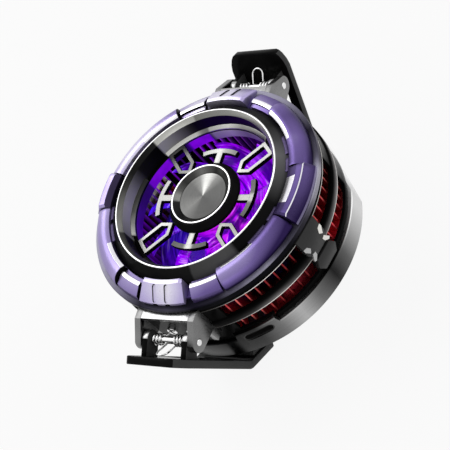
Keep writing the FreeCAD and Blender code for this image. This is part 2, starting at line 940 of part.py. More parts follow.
def blade_face():
    """A cambered blade section in the plane of (tangential, level), at the hub."""
    low = fan_rear + fan_blade_end_gap
    high = fan_front - fan_blade_end_gap
    middle = (low + high) / 2
    x = fan_hub_radius - fan_hub_wall / 2
    half = fan_blade_half_chord
    first = vec(x, -half, low)
    last = vec(x, half, high)
    first_back = vec(x, -half + fan_blade_thickness, low)
    last_back = vec(x, half, high - fan_blade_thickness)
    belly = vec(x, -fan_blade_camber, middle + fan_blade_camber)
    back = vec(x, -fan_blade_camber + fan_blade_thickness, middle + fan_blade_camber - fan_blade_thickness)
    edges = [
        Part.Arc(first, belly, last).toShape(),
        Part.makeLine(last, last_back),
        Part.Arc(last_back, back, first_back).toShape(),
        Part.makeLine(first_back, first),
    ]
    return Part.Face(Part.Wire(edges))


def make_impeller():
    inner = fan_hub_radius - fan_hub_wall
    cup = turned([
        (shaft_radius + shaft_fit, fan_front),
        (shaft_radius + shaft_fit, fan_front - fan_hub_wall - fan_boss_height),
        (fan_boss_radius, fan_front - fan_hub_wall - fan_boss_height),
        (fan_boss_radius, fan_front - fan_hub_wall),
        (inner, fan_front - fan_hub_wall),
        (inner, fan_rear),
        (fan_hub_radius, fan_rear),
        (fan_hub_radius, fan_front),
    ])
    blade = blade_face().extrude(vec(fan_radius, 0, 0))
    limit = ring(inner, fan_radius, fan_rear, fan_front)
    blade = blade.common(limit)
    blades = [spun(blade, 360.0 * i / fan_blade_count) for i in range(fan_blade_count)]
    return fused([cup] + blades)


def make_fan_shaft():
    top = fan_front - seat_clearance
    return disc(shaft_radius, motor_seat + shaft_foot_gap, top)


def make_magnet_ring():
    outer = fan_hub_radius - fan_hub_wall - shaft_fit
    return ring(outer - magnet_thickness, outer, fan_rear, fan_rear + magnet_height)


def make_motor_mount():
    hole = bearing_radius + shaft_fit
    return turned([
        (hole, heatsink_front),
        (motor_flange_radius, heatsink_front),
        (motor_flange_radius, motor_seat),
        (motor_tube_radius, motor_seat),
        (motor_tube_radius, motor_tube_front),
        (hole, motor_tube_front),
    ])


def make_motor_board():
    inner = motor_tube_radius + seat_clearance / 2
    return ring(inner, motor_flange_radius, motor_seat, motor_seat + motor_board_thickness)


def make_sleeve_bearing():
    return ring(shaft_radius + shaft_running_clearance, bearing_radius,
                motor_seat + bearing_foot_gap, motor_tube_front)


def stator_levels():
    return fan_rear + stator_end_gap, fan_rear + magnet_height - stator_end_gap


def stator_shoe_radius():
    return fan_hub_radius - fan_hub_wall - shaft_fit - magnet_thickness - motor_gap


def make_stator_core():
    low, high = stator_levels()
    outer = stator_shoe_radius()
    shapes = [ring(motor_tube_radius + shaft_fit, stator_yoke_radius, low, high)]
    shoe_inner = outer - stator_shoe_thickness
    for i in range(stator_pole_count):
        arm = block(stator_yoke_radius - coil_margin, shoe_inner + coil_clearance,
                    -stator_pole_width / 2, stator_pole_width / 2, low, high)
        shoe = ring(shoe_inner, outer, low, high, -stator_shoe_angle / 2, stator_shoe_angle)
        shapes += [spun(arm.fuse(shoe), 360.0 * i / stator_pole_count)]
    return fused(shapes)


def make_stator_coils():
    low, high = stator_levels()
    inner = stator_yoke_radius + coil_clearance
    outer = stator_shoe_radius() - stator_shoe_thickness - coil_clearance
    half = stator_pole_width / 2 + coil_clearance
    coils = []
    for i in range(stator_pole_count):
        body = block(inner, outer, -half - coil_margin, half + coil_margin,
                     low - coil_margin, high + coil_margin)
        room = block(inner - overrun, outer + overrun, -half, half,
                     low - coil_clearance, high + coil_clearance)
        body = body.cut(room).common(disc(outer, low - coil_margin, high + coil_margin))
        coils.append(spun(body, 360.0 * i / stator_pole_count))
    return group(coils)


def make_led_board():
    return ring(led_board_inner_radius, led_board_radius, heatsink_front, led_seat)


def make_leds():
    half = led_side / 2
    led = block(led_circle_radius - half, led_circle_radius + half, -half, half,
                led_seat, led_seat + led_height)
    return group([spun(led, 360.0 * i / led_count) for i in range(led_count)])


def make_light_diffuser():
    high = diffuser_rear + diffuser_thickness
    wall = diffuser_radius - diffuser_thickness
    return turned([
        (wall, heatsink_front),
        (diffuser_radius, heatsink_front),
        (diffuser_radius, high),
        (diffuser_inner_radius, high),
        (diffuser_inner_radius, diffuser_rear),
        (wall, diffuser_rear),
    ])


def rivet_places():
    level = cage_top - bracket_front_gap - rivet_drop
    return [(side * rivet_spread, level) for side in (-1, 1)]


def pin_rim_point(angle):
    return pin_reach + ear_tip_radius * math.cos(math.radians(angle)), \
        pin_level + ear_tip_radius * math.sin(math.radians(angle))


def make_bracket():
    """The fixed half of a clamp hinge: a plate on the cage, two ears and a web across the front."""
    front = cage_top - bracket_front_gap
    rear = front - bracket_plate_height
    root = cage_inner_radius - overrun
    plate = block(-bracket_half_width, bracket_half_width, root, bracket_plate_reach, rear, front)
    web = block(-bracket_half_width, bracket_half_width, root, web_reach, front - web_thickness, front)
    outline = [
        (root, front),
        (web_reach, front),
        pin_rim_point(ear_front_angle),
        (pin_reach, pin_level),
        pin_rim_point(ear_rear_angle),
        (root, pin_level - ear_rear_drop),
    ]
    shapes = [plate, web]
    for side in (-1, 1):
        x0, x1 = sorted((side * bracket_half_width, side * ear_inner_half_width))
        shapes.append(slab_x(outline, x0, x1))
        shapes.append(rod_x(pin_reach, pin_level, ear_tip_radius, x0, x1))
    body = fused(shapes)
    proud = cage_radius + rib_proud + bracket_fit
    body = body.cut(disc(cage_radius + bracket_fit, 0, rim_level))
    body = body.cut(disc(proud, rib_rear - bracket_fit, rib_front + bracket_fit))
    hole = pin_radius + pin_fixed_clearance
    side = bracket_half_width + overrun
    body = body.cut(rod_x(pin_reach, pin_level, hole, -side, side))
    for x, z in rivet_places():
        body = body.cut(rod_y(x, z, rivet_radius + bracket_fit, root, bracket_plate_reach + overrun))
    return body


def rod_y(x, z, radius, y0, y1):
    return Part.makeCylinder(radius, y1 - y0, vec(x, y0, z), vec(0, 1, 0))


def make_rivets():
    rivets = []
    for x, z in rivet_places():
        shank = rod_y(x, z, rivet_radius, cage_inner_radius, bracket_plate_reach)
        head = rod_y(x, z, rivet_head_radius, bracket_plate_reach, bracket_plate_reach + rivet_head_height)
        rivets.append(shank.fuse(head))
    return group(rivets)


def make_pin():
    reach = bracket_half_width + pin_overhang
    return rod_x(pin_reach, pin_level, pin_radius, -reach, reach)


def hung_on_pin(shape):
    """Put a piece drawn about the pin, with its plate upright, at the lever's closed place."""
    copy = shape.copy()
    copy.rotate(vec(0, 0, 0), vec(1, 0, 0), -math.degrees(lever_lean))
    copy.translate(vec(0, pin_reach, pin_level))
    return copy


def hook_direction():
    b = math.radians(hook_bend_angle)
    return -math.sin(b), -math.cos(b)


def hook_point(along, inwards):
    """A point of the hook: along it from the bend, and inwards from its outer face."""
    dy, dz = hook_direction()
    return (lever_offset + dy * along + dz * inwards,
            -lever_rear_length + dz * along - dy * inwards)


def make_lever():
    half_bend = math.radians(hook_bend_angle) / 2
    inner_corner = -lever_rear_length + lever_thickness * math.tan(half_bend)
    outline = [
        (lever_offset, lever_front_length),
        (lever_offset, -lever_rear_length),
        hook_point(hook_length, 0),
        hook_point(hook_length, lever_thickness),
        (lever_inner_offset, inner_corner),
        (lever_inner_offset, lever_front_length),
    ]
    body = slab_x(outline, -lever_half_width, lever_half_width)
    window_half = lever_half_width - window_leg_width
    window = block(-window_half, window_half, lever_inner_offset - overrun, lever_offset + overrun,
                   -lever_rear_length + window_rear_gap, -window_front_gap)
    body = body.cut(window)
    corner_overrun = overrun * lever_corner_length / lever_corner_width
    for side in (-1, 1):
        x0, x1 = sorted((side * lug_outer_half_width, side * (lug_outer_half_width - lug_thickness)))
        root = lever_inner_offset + lever_thickness / 2
        cheek = block(x0, x1, 0, root, -lug_half_height, lug_half_height)
        body = fused([body, cheek, rod_x(0, 0, lug_radius, x0, x1)])
        corner = [
            vec(side * (lever_half_width - lever_corner_width), 0, lever_front_length),
            vec(side * (lever_half_width + overrun), 0,
                lever_front_length - lever_corner_length - corner_overrun),
            vec(side * (lever_half_width + overrun), 0, lever_front_length + overrun),
            vec(side * (lever_half_width - lever_corner_width), 0, lever_front_length + overrun),
        ]
        wedge = Part.Face(closed_wire(corner)).extrude(vec(0, lever_offset + overrun, 0))
        body = body.cut(wedge)
    reach = lever_half_width + overrun
    body = body.cut(rod_x(0, 0, pin_radius + pin_running_clearance, -reach, reach))
    return hung_on_pin(body)


def make_jaw_pad():
    start = lever_thickness + jaw_pad_margin
    end = hook_length - jaw_pad_margin
    outline = [
        hook_point(start, lever_thickness),
        hook_point(end, lever_thickness),
        hook_point(end, lever_thickness + jaw_pad_thickness),
        hook_point(start, lever_thickness + jaw_pad_thickness),
    ]
    return hung_on_pin(slab_x(outline, -jaw_pad_half_width, jaw_pad_half_width))


def spring_stations():
    """Places and directions along the left half of the spring's centre line, about the pin."""
    start_angle = spring_push_angle - 90.0
    slope = math.atan(spring_pitch / (2 * math.pi * spring_radius))

    def station(turns):
        a = math.radians(start_angle + 360.0 * turns)
        place = vec(-spring_half_span + spring_pitch * turns, spring_radius * math.cos(a),
                    spring_radius * math.sin(a))
        heading = vec(math.sin(slope), -math.sin(a) * math.cos(slope), math.cos(a) * math.cos(slope))
        return place, heading

    stations = [station(i / 4) for i in range(4 * spring_turns + 1)]
    first, heading = stations[0]
    seat = bracket_plate_reach + wire_diameter / 2 + spring_seat_gap - pin_reach
    back = (first.y - seat) / heading.y
    tail = (first - heading * back, heading)
    last, heading = stations[-1]
    outwards = vec(0, math.cos(lever_lean), -math.sin(lever_lean))
    wall = lever_inner_offset - spring_tab_gap - wire_diameter / 2
    run = (wall - last.dot(outwards)) / heading.dot(outwards)
    turn_room = abs(last.x + heading.x * run)
    run = run - turn_room
    return [tail] + stations + [(last + heading * run, heading)]


def biarc(p0, t0, p1, t1):
    """Two arcs that leave one place along its heading and reach the next along its own."""
    v = p1 - p0
    t = t0 + t1
    a = 2 * (1 - t0.dot(t1))
    b = 2 * v.dot(t)
    c = -v.dot(v)
    d = (-b + math.sqrt(b * b - 4 * a * c)) / (2 * a)
    corner0 = p0 + t0 * d
    corner1 = p1 - t1 * d
    joint = (corner0 + corner1) * 0.5
    heading = (corner1 - corner0).normalize()
    return [tangent_arc(p0, t0, joint), tangent_arc(joint, heading, p1)]


def tangent_arc(start, heading, end):
    chord = end - start
    across = chord - heading * chord.dot(heading)
    radius = chord.dot(chord) / (2 * across.Length)
    centre = start + across.normalize() * radius
    middle = (start + end) * 0.5 - centre
    return Part.Arc(start, centre + middle.normalize() * radius, end).toShape()


def spring_edges():
    left = spring_stations()
    right = [(vec(-p.x, p.y, p.z), vec(h.x, -h.y, -h.z)) for p, h in reversed(left)]
    stations = left + right
    edges = []
    for (p0, t0), (p1, t1) in zip(stations, stations[1:]):
        if (p1 - p0).normalize().dot(t0) > math.cos(math.radians(straight_angle)):
            edges.append(Part.makeLine(p0, p1))
        else:
            edges += biarc(p0, t0, p1, t1)
    return edges


def least_gap(path):
    """The wire's least clearance to itself, measured between points more than half a turn apart."""
    points = path.discretize(Distance=spring_sample_step)
    apart = int(math.pi * spring_radius / spring_sample_step)
    least = min((p - q).Length for i, p in enumerate(points) for q in points[i + apart:])
    return least - wire_diameter


def make_spring():
    path = Part.Wire(spring_edges())
    print("spring: least gap to itself", round(least_gap(path), 3), "mm")
    start, heading = spring_stations()[0]
    section = Part.Wire(Part.makeCircle(wire_diameter / 2, start, heading))
    spring = path.makePipeShell([section], True, False)
    spring.translate(vec(0, pin_reach, pin_level))
    return spring


def main():
    cage = make_cage()
    funnel = make_funnel()
    pieces = {
        "contact_pad": make_contact_pad(),
        "cold_plate": make_cold_plate(),
        "peltier_module": make_peltier_module(),
        "peltier_gasket": make_peltier_gasket(),
        "base_housing": make_base_housing(),
        "base_screws": make_base_screws(),
        "port_housing": make_port_housing(),
        "port_shell": make_port_shell(),
        "port_tongue": make_port_tongue(),
        "control_board": make_control_board(),
        "board_chips": make_board_chips(),
        "heatsink_plate": make_heatsink_plate(),
        "fin_ring": make_fin_ring(),
        "cage": cage,
        "cage_pillars": make_pillars(cage),
        "hex_plates": make_hex_plates(),
        "ring_flange": make_ring_flange(),
        "front_ring": make_front_ring(),
        "side_blocks": make_side_blocks(),
        "slotted_blocks": make_slotted_blocks(),
        "intake_funnel": funnel,
        "collar_bars": make_collar_bars(funnel),
        "throat_bevels": make_throat_bevels(),
        "guard_grille": make_guard(),
        "hub_rim": make_hub_rim(),
        "hub_disc": make_hub_disc(),
        "impeller": make_impeller(),
        "fan_shaft": make_fan_shaft(),
        "magnet_ring": make_magnet_ring(),
        "motor_mount": make_motor_mount(),
        "motor_board": make_motor_board(),
        "sleeve_bearing": make_sleeve_bearing(),
        "stator_core": make_stator_core(),
        "stator_coils": make_stator_coils(),
        "led_board": make_led_board(),
        "leds": make_leds(),
        "light_diffuser": make_light_diffuser(),
    }
    clamp = {
        "bracket": make_bracket(),
        "rivets": make_rivets(),
        "pin": make_pin(),
        "spring": make_spring(),
        "lever": make_lever(),
        "jaw_pad": make_jaw_pad(),
    }
    for name, shape in clamp.items():
        pieces["upper_" + name] = shape
        pieces["lower_" + name] = spun(shape, 180.0)
    os.makedirs("parts", exist_ok=True)
    for name, shape in pieces.items():
        shape.exportStep("parts/" + name + ".step")
        box = shape.BoundBox
        print(name, len(shape.Solids), shape.isValid(), round(shape.Volume, 1),
              [round(v, 2) for v in (box.XMin, box.XMax, box.YMin, box.YMax, box.ZMin, box.ZMax)])


main()
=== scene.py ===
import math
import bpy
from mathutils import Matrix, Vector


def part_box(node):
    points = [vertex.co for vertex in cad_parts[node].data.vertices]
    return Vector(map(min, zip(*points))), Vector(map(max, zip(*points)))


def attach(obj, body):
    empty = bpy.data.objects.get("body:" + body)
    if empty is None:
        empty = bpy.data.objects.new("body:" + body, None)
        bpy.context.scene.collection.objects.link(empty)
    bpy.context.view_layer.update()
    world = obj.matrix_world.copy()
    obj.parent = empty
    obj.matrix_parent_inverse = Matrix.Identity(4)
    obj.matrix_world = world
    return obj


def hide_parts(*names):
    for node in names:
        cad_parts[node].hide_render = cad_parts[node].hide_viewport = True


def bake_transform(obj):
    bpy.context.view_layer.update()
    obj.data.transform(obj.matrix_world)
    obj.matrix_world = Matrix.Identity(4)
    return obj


bl_info = {
    "name": "Phone Cooler",
    "version": (1, 0, 0),
    "blender": (4, 5, 0),
    "location": "View3D > Sidebar > Phone Cooler",
    "description": "Dresses the construction model of a clip-on phone cooler",
    "category": "Object",
}

import bmesh
import bpy
from bpy.props import FloatProperty, FloatVectorProperty, IntProperty, PointerProperty
from mathutils import Matrix, Vector

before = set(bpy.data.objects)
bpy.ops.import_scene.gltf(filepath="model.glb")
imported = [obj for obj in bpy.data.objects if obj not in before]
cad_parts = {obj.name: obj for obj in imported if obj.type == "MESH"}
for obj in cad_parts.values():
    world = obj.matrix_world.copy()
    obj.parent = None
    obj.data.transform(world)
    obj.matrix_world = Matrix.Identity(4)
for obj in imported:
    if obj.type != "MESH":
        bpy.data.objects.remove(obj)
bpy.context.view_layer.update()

MM = 0.001
FULL_TURN = 360.0
# First angle of a whole turn and angle between the faces of an arc, in degrees
START_ANGLE = -90.0
ARC_STEP = 1.5
# Angle between two faces past which they meet in an edge, in degrees
EDGE_ANGLE = 32.0
# Strength of the studio's light beside what the camera sees as white
STUDIO_LEVEL = 0.4
# Specular level of the finishes whose light is painted
FAINT_GLOSS = 0.012


def low(node):
    """Lowest corner of a construction node, in millimetres."""
    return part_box(node)[0] / MM


def high(node):
    """Highest corner of a construction node, in millimetres."""
    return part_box(node)[1] / MM


# Radii and levels of the construction model, in millimetres. Levels run along the fan's axis.
base_radius = high("base_housing").x
base_rear = low("base_housing").z
base_top = high("base_housing").z
base_inner_radius = base_radius - 2.3
screw_circle = 29.2
screw_seat = base_rear + 1.1
port_front = high("port_housing").z
cage_radius = high("ring_flange").x - 0.5
cage_inner_radius = cage_radius - 0.9
cage_top = high("cage").z
skirt_rear = low("ring_flange").z
flange_radius = high("ring_flange").x
flange_front = high("ring_flange").z
ring_radius = cage_radius - 0.9
ring_inner_radius = ring_radius - 5.3
ring_lip_radius = ring_inner_radius + 1.1
ring_seat = flange_front + 0.8
block_front = high("slotted_blocks").z
ring_front = block_front - 0.8
side_block_radius = high("side_blocks").x
slotted_block_radius = high("slotted_blocks").y
rim_level = high("intake_funnel").z
throat_rear = low("intake_funnel").z
fin_rear = low("fin_ring").z
fin_front = high("fin_ring").z
fin_outer_radius = high("fin_ring").x
fin_inner_radius = fin_outer_radius - 9.3
rib_front = fin_front - 3.8
rib_rear = rib_front - 3.6
window_front = fin_front + 0.9
window_low = rib_front - 0.5
guard_seat = low("guard_grille").z
guard_radius = high("guard_grille").x
hub_front = high("guard_grille").z
hub_rim_radius = high("hub_rim").x
hub_rim_front = high("hub_rim").z
hub_disc_radius = high("hub_disc").x
hub_disc_front = high("hub_disc").z
fan_rear = low("impeller").z
fan_front = high("impeller").z
fan_radius = 21.2
fan_hub_radius = 9.4
pin_reach = (low("upper_pin").y + high("upper_pin").y) / 2
pin_level = (low("upper_pin").z + high("upper_pin").z) / 2
pin_radius = (high("upper_pin").z - low("upper_pin").z) / 2
pin_half_length = high("upper_pin").x
bracket_half_width = high("upper_bracket").x
bracket_front = high("upper_bracket").z
bracket_plate_radius = cage_radius + 1.4
ear_thickness = 1.9
lever_half_width = high("upper_lever").x
lever_offset = 6.7
lever_thickness = 2.2
lever_front = 8.45

# Bend of the levers' hooks, in degrees, and number of base screws
HOOK_BEND = 32.4
SCREW_COUNT = 4

# Places round the axis, in degrees from the side of the hinge pins' right ends
FRONT_WINDOWS = ((-66, -22), (-8, 24), (156, 188), (202, 242))
REAR_WINDOWS = ((-49, -22), (-8, 24), (156, 188), (202, 242))
PORT_WINDOW = (-66, -49)
PORT_ANGLE = -60
FLAT_ANGLES = (40, 140)
PILLAR_ANGLES = (-15, 195)
ROUNDED_ARCS = ((-58, -16), (13, 58), (122, 170), (192, 238))
FLAT_ARCS = ((-74.5, -58.4), (58.4, 74.5), (105.5, 121.6), (238.4, 254.5))
LIT_ENDS = ((-60, -57), (57, 60))
SIDE_BLOCKS = ((-16, 13), (170, 192))
SLOTTED_BLOCKS = ((77, 103), (257, 283))
# Arcs of painted highlight on the ring's inner lips and on a side block's inner slope, and arcs where the
# pillars' facets take painted shade
BRIGHT_LIPS = ((-55, -35), (32, 56), (122, 147), (217, 238))
LIT_FACETS = ((-9, 6.5),)
SHADED_FACETS = ((-30, -15), (195, 210))
COLLAR_BARS = ((11, 20), (23, 36), (144, 157), (160, 169), (191, 200), (203, 216), (324, 337), (340, 349))
THROAT_PLATES = ((14, 34), (52, 142.5), (165, 212.5), (236, 304))


def length(name, description, default):
    return FloatProperty(name=name, description=description, default=default * MM, unit="LENGTH", precision=5)


def tint(name, description, default):
    return FloatVectorProperty(name=name, description=description, subtype="COLOR", size=3, default=default,
                               min=0.0, max=1.0)


class CoolerSizes(bpy.types.PropertyGroup):
    """Sizes of the details that the construction model leaves plain."""

    edge: length("Edge Break", "Width of the broken edges on machined pieces", 0.1)
    seam: length("Seam", "Width of the joints between the front ring's segments", 0.45)
    slot_width: length("Slot Width", "Width of the slots in the front ring's pale blocks", 1.3)
    slot_pitch: length("Slot Pitch", "Distance between the two slots of a block", 3.8)
    # The window trim is a proud band that carries a painted highlight line along the window edges and the rib
    trim: length("Window Trim", "Height of the polished line in front of each row of windows", 0.28)
    fin_thickness: length("Fin Thickness", "Sheet thickness of one fin", 0.45)
    fin_count: IntProperty(name="Fins", description="Number of radial fins", default=68, min=8)
    blade_count: IntProperty(name="Blades", description="Number of fan blades", default=9, min=3)
    blade_skew: FloatProperty(name="Blade Skew", description="How far a blade's tip runs ahead of its root",
                              default=math.radians(16), subtype="ANGLE")
    bar_width: length("Guard Bar", "Width of the guard's flat bars", 1.15)
    wire: length("Spring Wire", "Diameter of the torsion springs' wire", 0.5)
    grain: length("Brush Grain", "Depth of the brushed grain on the metal pieces", 0.008)


class CoolerColours(bpy.types.PropertyGroup):
    """Colours of the finishes, linear."""

    # Purple, lilac and lavender are the dark, middle and pale ends of the front ring's painted light and
    # shade
    purple: tint("Purple", "Front ring where it is darkest", (0.030, 0.017, 0.085))
    lilac: tint("Lilac", "Front ring in its middle tone", (0.17, 0.12, 0.34))
    lavender: tint("Lavender", "Front ring where it is pale", (0.50, 0.43, 0.74))
    # Gunmetal and silver are the dark and bright ends of the base housing's painted reflections
    gunmetal: tint("Gunmetal", "Brushed base housing where it is dark", (0.005, 0.005, 0.005))
    silver: tint("Silver", "Brushed base housing where it is bright", (0.92, 0.92, 0.92))
    black: tint("Black", "Cage and levers", (0.003, 0.003, 0.003))
    dark_metal: tint("Dark Metal", "Guard's hub", (0.008, 0.008, 0.008))
    satin: tint("Satin Grey", "Guard and throat plates", (0.26, 0.26, 0.24))
    steel: tint("Steel", "Clamp brackets", (0.17, 0.17, 0.17))
    bright: tint("Bright Steel", "Pins, springs and rims", (0.85, 0.85, 0.85))
    red: tint("Fin Red", "Anodised fins", (0.34, 0.006, 0.014))
    violet: tint("Fan Violet", "Lit fan", (0.16, 0.0, 0.75))


def size(name):
    """A size of the panel, in millimetres."""
    return getattr(bpy.context.scene.cooler_sizes, name) / MM


def shade(name):
    """A colour of the panel."""
    return tuple(getattr(bpy.context.scene.cooler_colours, name))


# Shader maths


def grey(level):
    return (level,) * 3


class Sock:
    """A shader value that can be used in a Python expression."""

    def __init__(self, tree, socket):
        self.tree = tree
        self.socket = socket

    def operate(self, operation, *values):
        """A Math node that is fed with the values in their order."""
        return add_node(self.tree, "ShaderNodeMath", {"operation": operation}, dict(enumerate(values)))

    def math(self, operation, *others):
        return self.operate(operation, self, *others)

    def __add__(self, other):
        return self.math("ADD", other)

    def __sub__(self, other):
        return self.math("SUBTRACT", other)

    def __rsub__(self, other):
        return self.operate("SUBTRACT", other, self)

    def __mul__(self, other):
        return self.math("MULTIPLY", other)

    def __truediv__(self, other):
        return self.math("DIVIDE", other)

    def __rtruediv__(self, other):
        return self.operate("DIVIDE", other, self)

    __radd__ = __add__
    __rmul__ = __mul__


def add_node(tree, kind, values=None, sockets=None, out=0):
    """Add a node: its settings first, then the values or links of its sockets."""
    node = tree.nodes.new(kind)
    for key, value in (values or {}).items():
        if key == "ramp":
            fill_ramp(node.color_ramp, value)
        else:
            setattr(node, key, value)
    for key, value in (sockets or {}).items():
        if isinstance(value, Sock):
            tree.links.new(value.socket, node.inputs[key])
        else:
            node.inputs[key].default_value = value
    return Sock(tree, node.outputs[out])


def fill_ramp(ramp, stops):
    while len(ramp.elements) < len(stops):
        ramp.elements.new(1.0)
    for element, (place, value) in zip(ramp.elements, stops):
        element.position = place
        element.color = (*value, 1.0)


def looked_at(tree):
    """One where the camera, metal or glass looks, and zero for all other light."""
    seen = add_node(tree, "ShaderNodeLightPath", out="Is Camera Ray")
    for kind in ("Is Glossy Ray", "Is Transmission Ray"):
        seen = seen.math("MAXIMUM", add_node(tree, "ShaderNodeLightPath", out=kind))
    return seen


def toned(base, share):
    """A colour moved towards white by a share, or towards black by a negative one."""
    goal = 1.0 if share > 0 else 0.0
    return tuple(c + (goal - c) * abs(share) for c in base)


class Finish:
    """A material under way: its tree, its shader and the patterns that feed it."""

    def __init__(self, name, base, roughness, metallic=0.0, **fixed):
        self.material = bpy.data.materials.new(name)
        self.material.use_nodes = True
        self.tree = self.material.node_tree
        self.shader = next(n for n in self.tree.nodes if n.type == "BSDF_PRINCIPLED")
        self.set("Base Color", (*base, 1.0))
        self.set("Roughness", roughness)
        self.set("Metallic", metallic)
        for key, value in fixed.items():
            self.set(key.replace("_", " ").title().replace("Ior", "IOR"), value)
        self.place = self.node("ShaderNodeTexCoord", out="Object")

    def set(self, socket, value):
        if isinstance(value, Sock):
            self.tree.links.new(value.socket, self.shader.inputs[socket])
        else:
            self.shader.inputs[socket].default_value = value

    def node(self, kind, values=None, sockets=None, out=0):
        return add_node(self.tree, kind, values, sockets, out)

    def split(self):
        """The place's three coordinates, in millimetres."""
        return [self.node("ShaderNodeSeparateXYZ", {}, {0: self.place}, out) / MM for out in range(3)]

    def polar(self):
        """Angle about the axis in radians, distance from it, and level."""
        x, y, z = self.split()
        return y.math("ARCTAN2", x), (x * x + y * y).math("SQRT"), z

    def vector(self, x, y, z):
        return self.node("ShaderNodeCombineXYZ", {}, {0: x, 1: y, 2: z})

    def mix(self, factor, first, second):
        """Mix two colours, each a plain triple or a link."""
        first, second = [v if isinstance(v, Sock) else (*v, 1.0) for v in (first, second)]
        return self.node("ShaderNodeMix", {"data_type": "RGBA"}, {0: factor, 6: first, 7: second}, 2)

    def ramp(self, value, *stops):
        """Colour of a value between 0 and 1; each stop is a place and a colour."""
        return self.node("ShaderNodeValToRGB", {"ramp": stops}, {"Fac": value})

    def spread(self, value, start, end, a=0.0, b=1.0):
        """Carry a value's range from start to end over to the range from a to b."""
        sockets = {"Value": value, "From Min": start, "From Max": end, "To Min": a, "To Max": b}
        return self.node("ShaderNodeMapRange", {"clamp": True}, sockets)

    def sweep(self, bands):
        """Painted light and shade about the axis, standing in for what turned metal reflects; each band is an
        angle in degrees and a level.
        """
        half = FULL_TURN / 2
        closed = (*bands, (half, bands[0][1]))
        turn = self.spread(self.polar()[0], -math.pi, math.pi)
        return self.ramp(turn, *[((angle + half) / FULL_TURN, grey(level)) for angle, level in closed])

    def noise(self, scale, detail=3.0, place=None):
        sockets = {"Vector": place or self.place, "Scale": scale, "Detail": detail}
        return self.node("ShaderNodeTexNoise", {}, sockets)

    def ripple(self, scale, depth):
        """Soft noise about zero."""
        return (self.noise(scale) - 0.5) * depth

    def speck(self):
        """Speckle of blasted metal."""
        return self.noise(9000.0, 2.0)

    def turning(self, along, pitch):
        """Marks of turning or brushing: slow along the angle, close across it."""
        angle, radius, level = self.polar()
        return self.noise(1.0, 3.0, self.vector(angle * along, radius / pitch, level / pitch))

    def stretched(self, noise, a=0.0, b=1.0):
        """A noise's middle, where nearly all of it lies, spread from a to b."""
        return self.spread(noise, 0.3, 0.7, a, b)

    def drift(self, noise, base, darker, paler):
        """Move the colour with a noise, by shares towards black and towards white."""
        tones = toned(base, -darker), toned(base, paler)
        self.set("Base Color", self.mix(self.stretched(noise), *tones))

    def wear(self, noise, roughness, smoother, rougher):
        """Move the roughness with a noise."""
        self.set("Roughness", self.stretched(noise, roughness - smoother, roughness + rougher))

    def bump(self, height, depth, strength):
        """Relief of a depth in millimetres."""
        sockets = {"Height": height, "Distance": depth * MM, "Strength": strength}
        self.set("Normal", self.node("ShaderNodeBump", {}, sockets))

    def blast(self, roughness):
        """Gloss and relief of blasted metal."""
        speck = self.speck()
        self.wear(speck, roughness, 0.04, 0.06)
        self.bump(speck, 0.01, 0.25)

    def show_white(self, share):
        """Let the camera, metal and glass see a surface this far towards white."""
        white = self.node("ShaderNodeEmission", {}, {"Color": (*grey(1.0), 1.0), "Strength": 1.0})
        plain = Sock(self.tree, self.shader.outputs[0])
        mixed = self.node("ShaderNodeMixShader", {}, {0: looked_at(self.tree) * share, 1: plain, 2: white})
        output = next(n for n in self.tree.nodes if n.type == "OUTPUT_MATERIAL")
        self.tree.links.new(mixed.socket, output.inputs["Surface"])


def anodised(name, base, roughness, metallic, sheen=0.06):
    """Satin blasted and dyed metal."""
    finish = Finish(name, base, roughness, metallic, specular_ior_level=0.2)
    finish.drift(finish.noise(60.0), base, 0.12, sheen)
    finish.blast(roughness)
    return finish.material


def swept(name, tones, bands, roughness=0.3, metallic=0.6, grain=0.0, fall=0.0):
    """Metal whose tones run in soft bands of painted light and shade about the axis; fall paints shade over
    the front ring's foot.
    """
    finish = Finish(name, tones[-1], roughness, metallic, specular_ior_level=FAINT_GLOSS)
    speck = finish.speck()
    light = finish.sweep(bands) + finish.ripple(55.0, 0.04)
    if fall:
        # Painted shade: the front ring's foot is darkened
        foot = finish.spread(finish.split()[2], flange_front, ring_front - 0.2, 1.0, 0.0)
        light = light - foot.math("POWER", 1.3) * finish.sweep(FOOT_SHADE) * fall
    if grain:
        marks = finish.turning(0.7, 0.1)
        light = light * finish.stretched(marks, 1.0 - grain, 1.0 + grain)
        finish.bump(marks, size("grain"), 0.5)
    else:
        finish.bump(speck, 0.01, 0.25)
    stops = [(i / (len(tones) - 1), tone) for i, tone in enumerate(tones)]
    finish.set("Base Color", finish.ramp(light, *stops))
    finish.wear(speck, roughness, 0.04, 0.06)
    return finish.material


def moulded(name, base, roughness):
    """Dark moulded plastic with a faint orange peel."""
    finish = Finish(name, base, roughness, 0.0, specular_ior_level=FAINT_GLOSS)
    smudge = finish.noise(90.0, 4.0)
    finish.drift(smudge, base, 0.2, 0.004)
    finish.wear(smudge, roughness, 0.05, 0.07)
    finish.bump(finish.noise(2500.0, 2.0), 0.006, 0.3)
    return finish.material


def lacquered(name, base, roughness=0.16):
    """Black stove enamel over pressed metal."""
    finish = Finish(name, base, roughness, 0.0, specular_ior_level=0.03)
    smudge = finish.noise(70.0, 4.0)
    finish.set("Base Color", finish.mix(finish.spread(smudge, 0.35, 0.7), base, toned(base, 0.005)))
    finish.wear(smudge, roughness, 0.04, 0.08)
    finish.bump(finish.noise(1600.0, 2.0), 0.006, 0.3)
    return finish.material


def turned_metal(name, base, roughness=0.3):
    """Metal turned round the axis: fine marks follow the turn."""
    finish = Finish(name, base, roughness, 1.0)
    marks = finish.turning(0.6, 0.12)
    cloud = finish.stretched(finish.noise(45.0), 0.0, 0.35)
    streaked = finish.mix(finish.stretched(marks), toned(base, -0.18), toned(base, 0.08))
    finish.set("Base Color", finish.mix(cloud, streaked, toned(base, -0.1)))
    finish.wear(marks, roughness, 0.06, 0.08)
    finish.bump(marks, size("grain"), 0.6)
    return finish.material


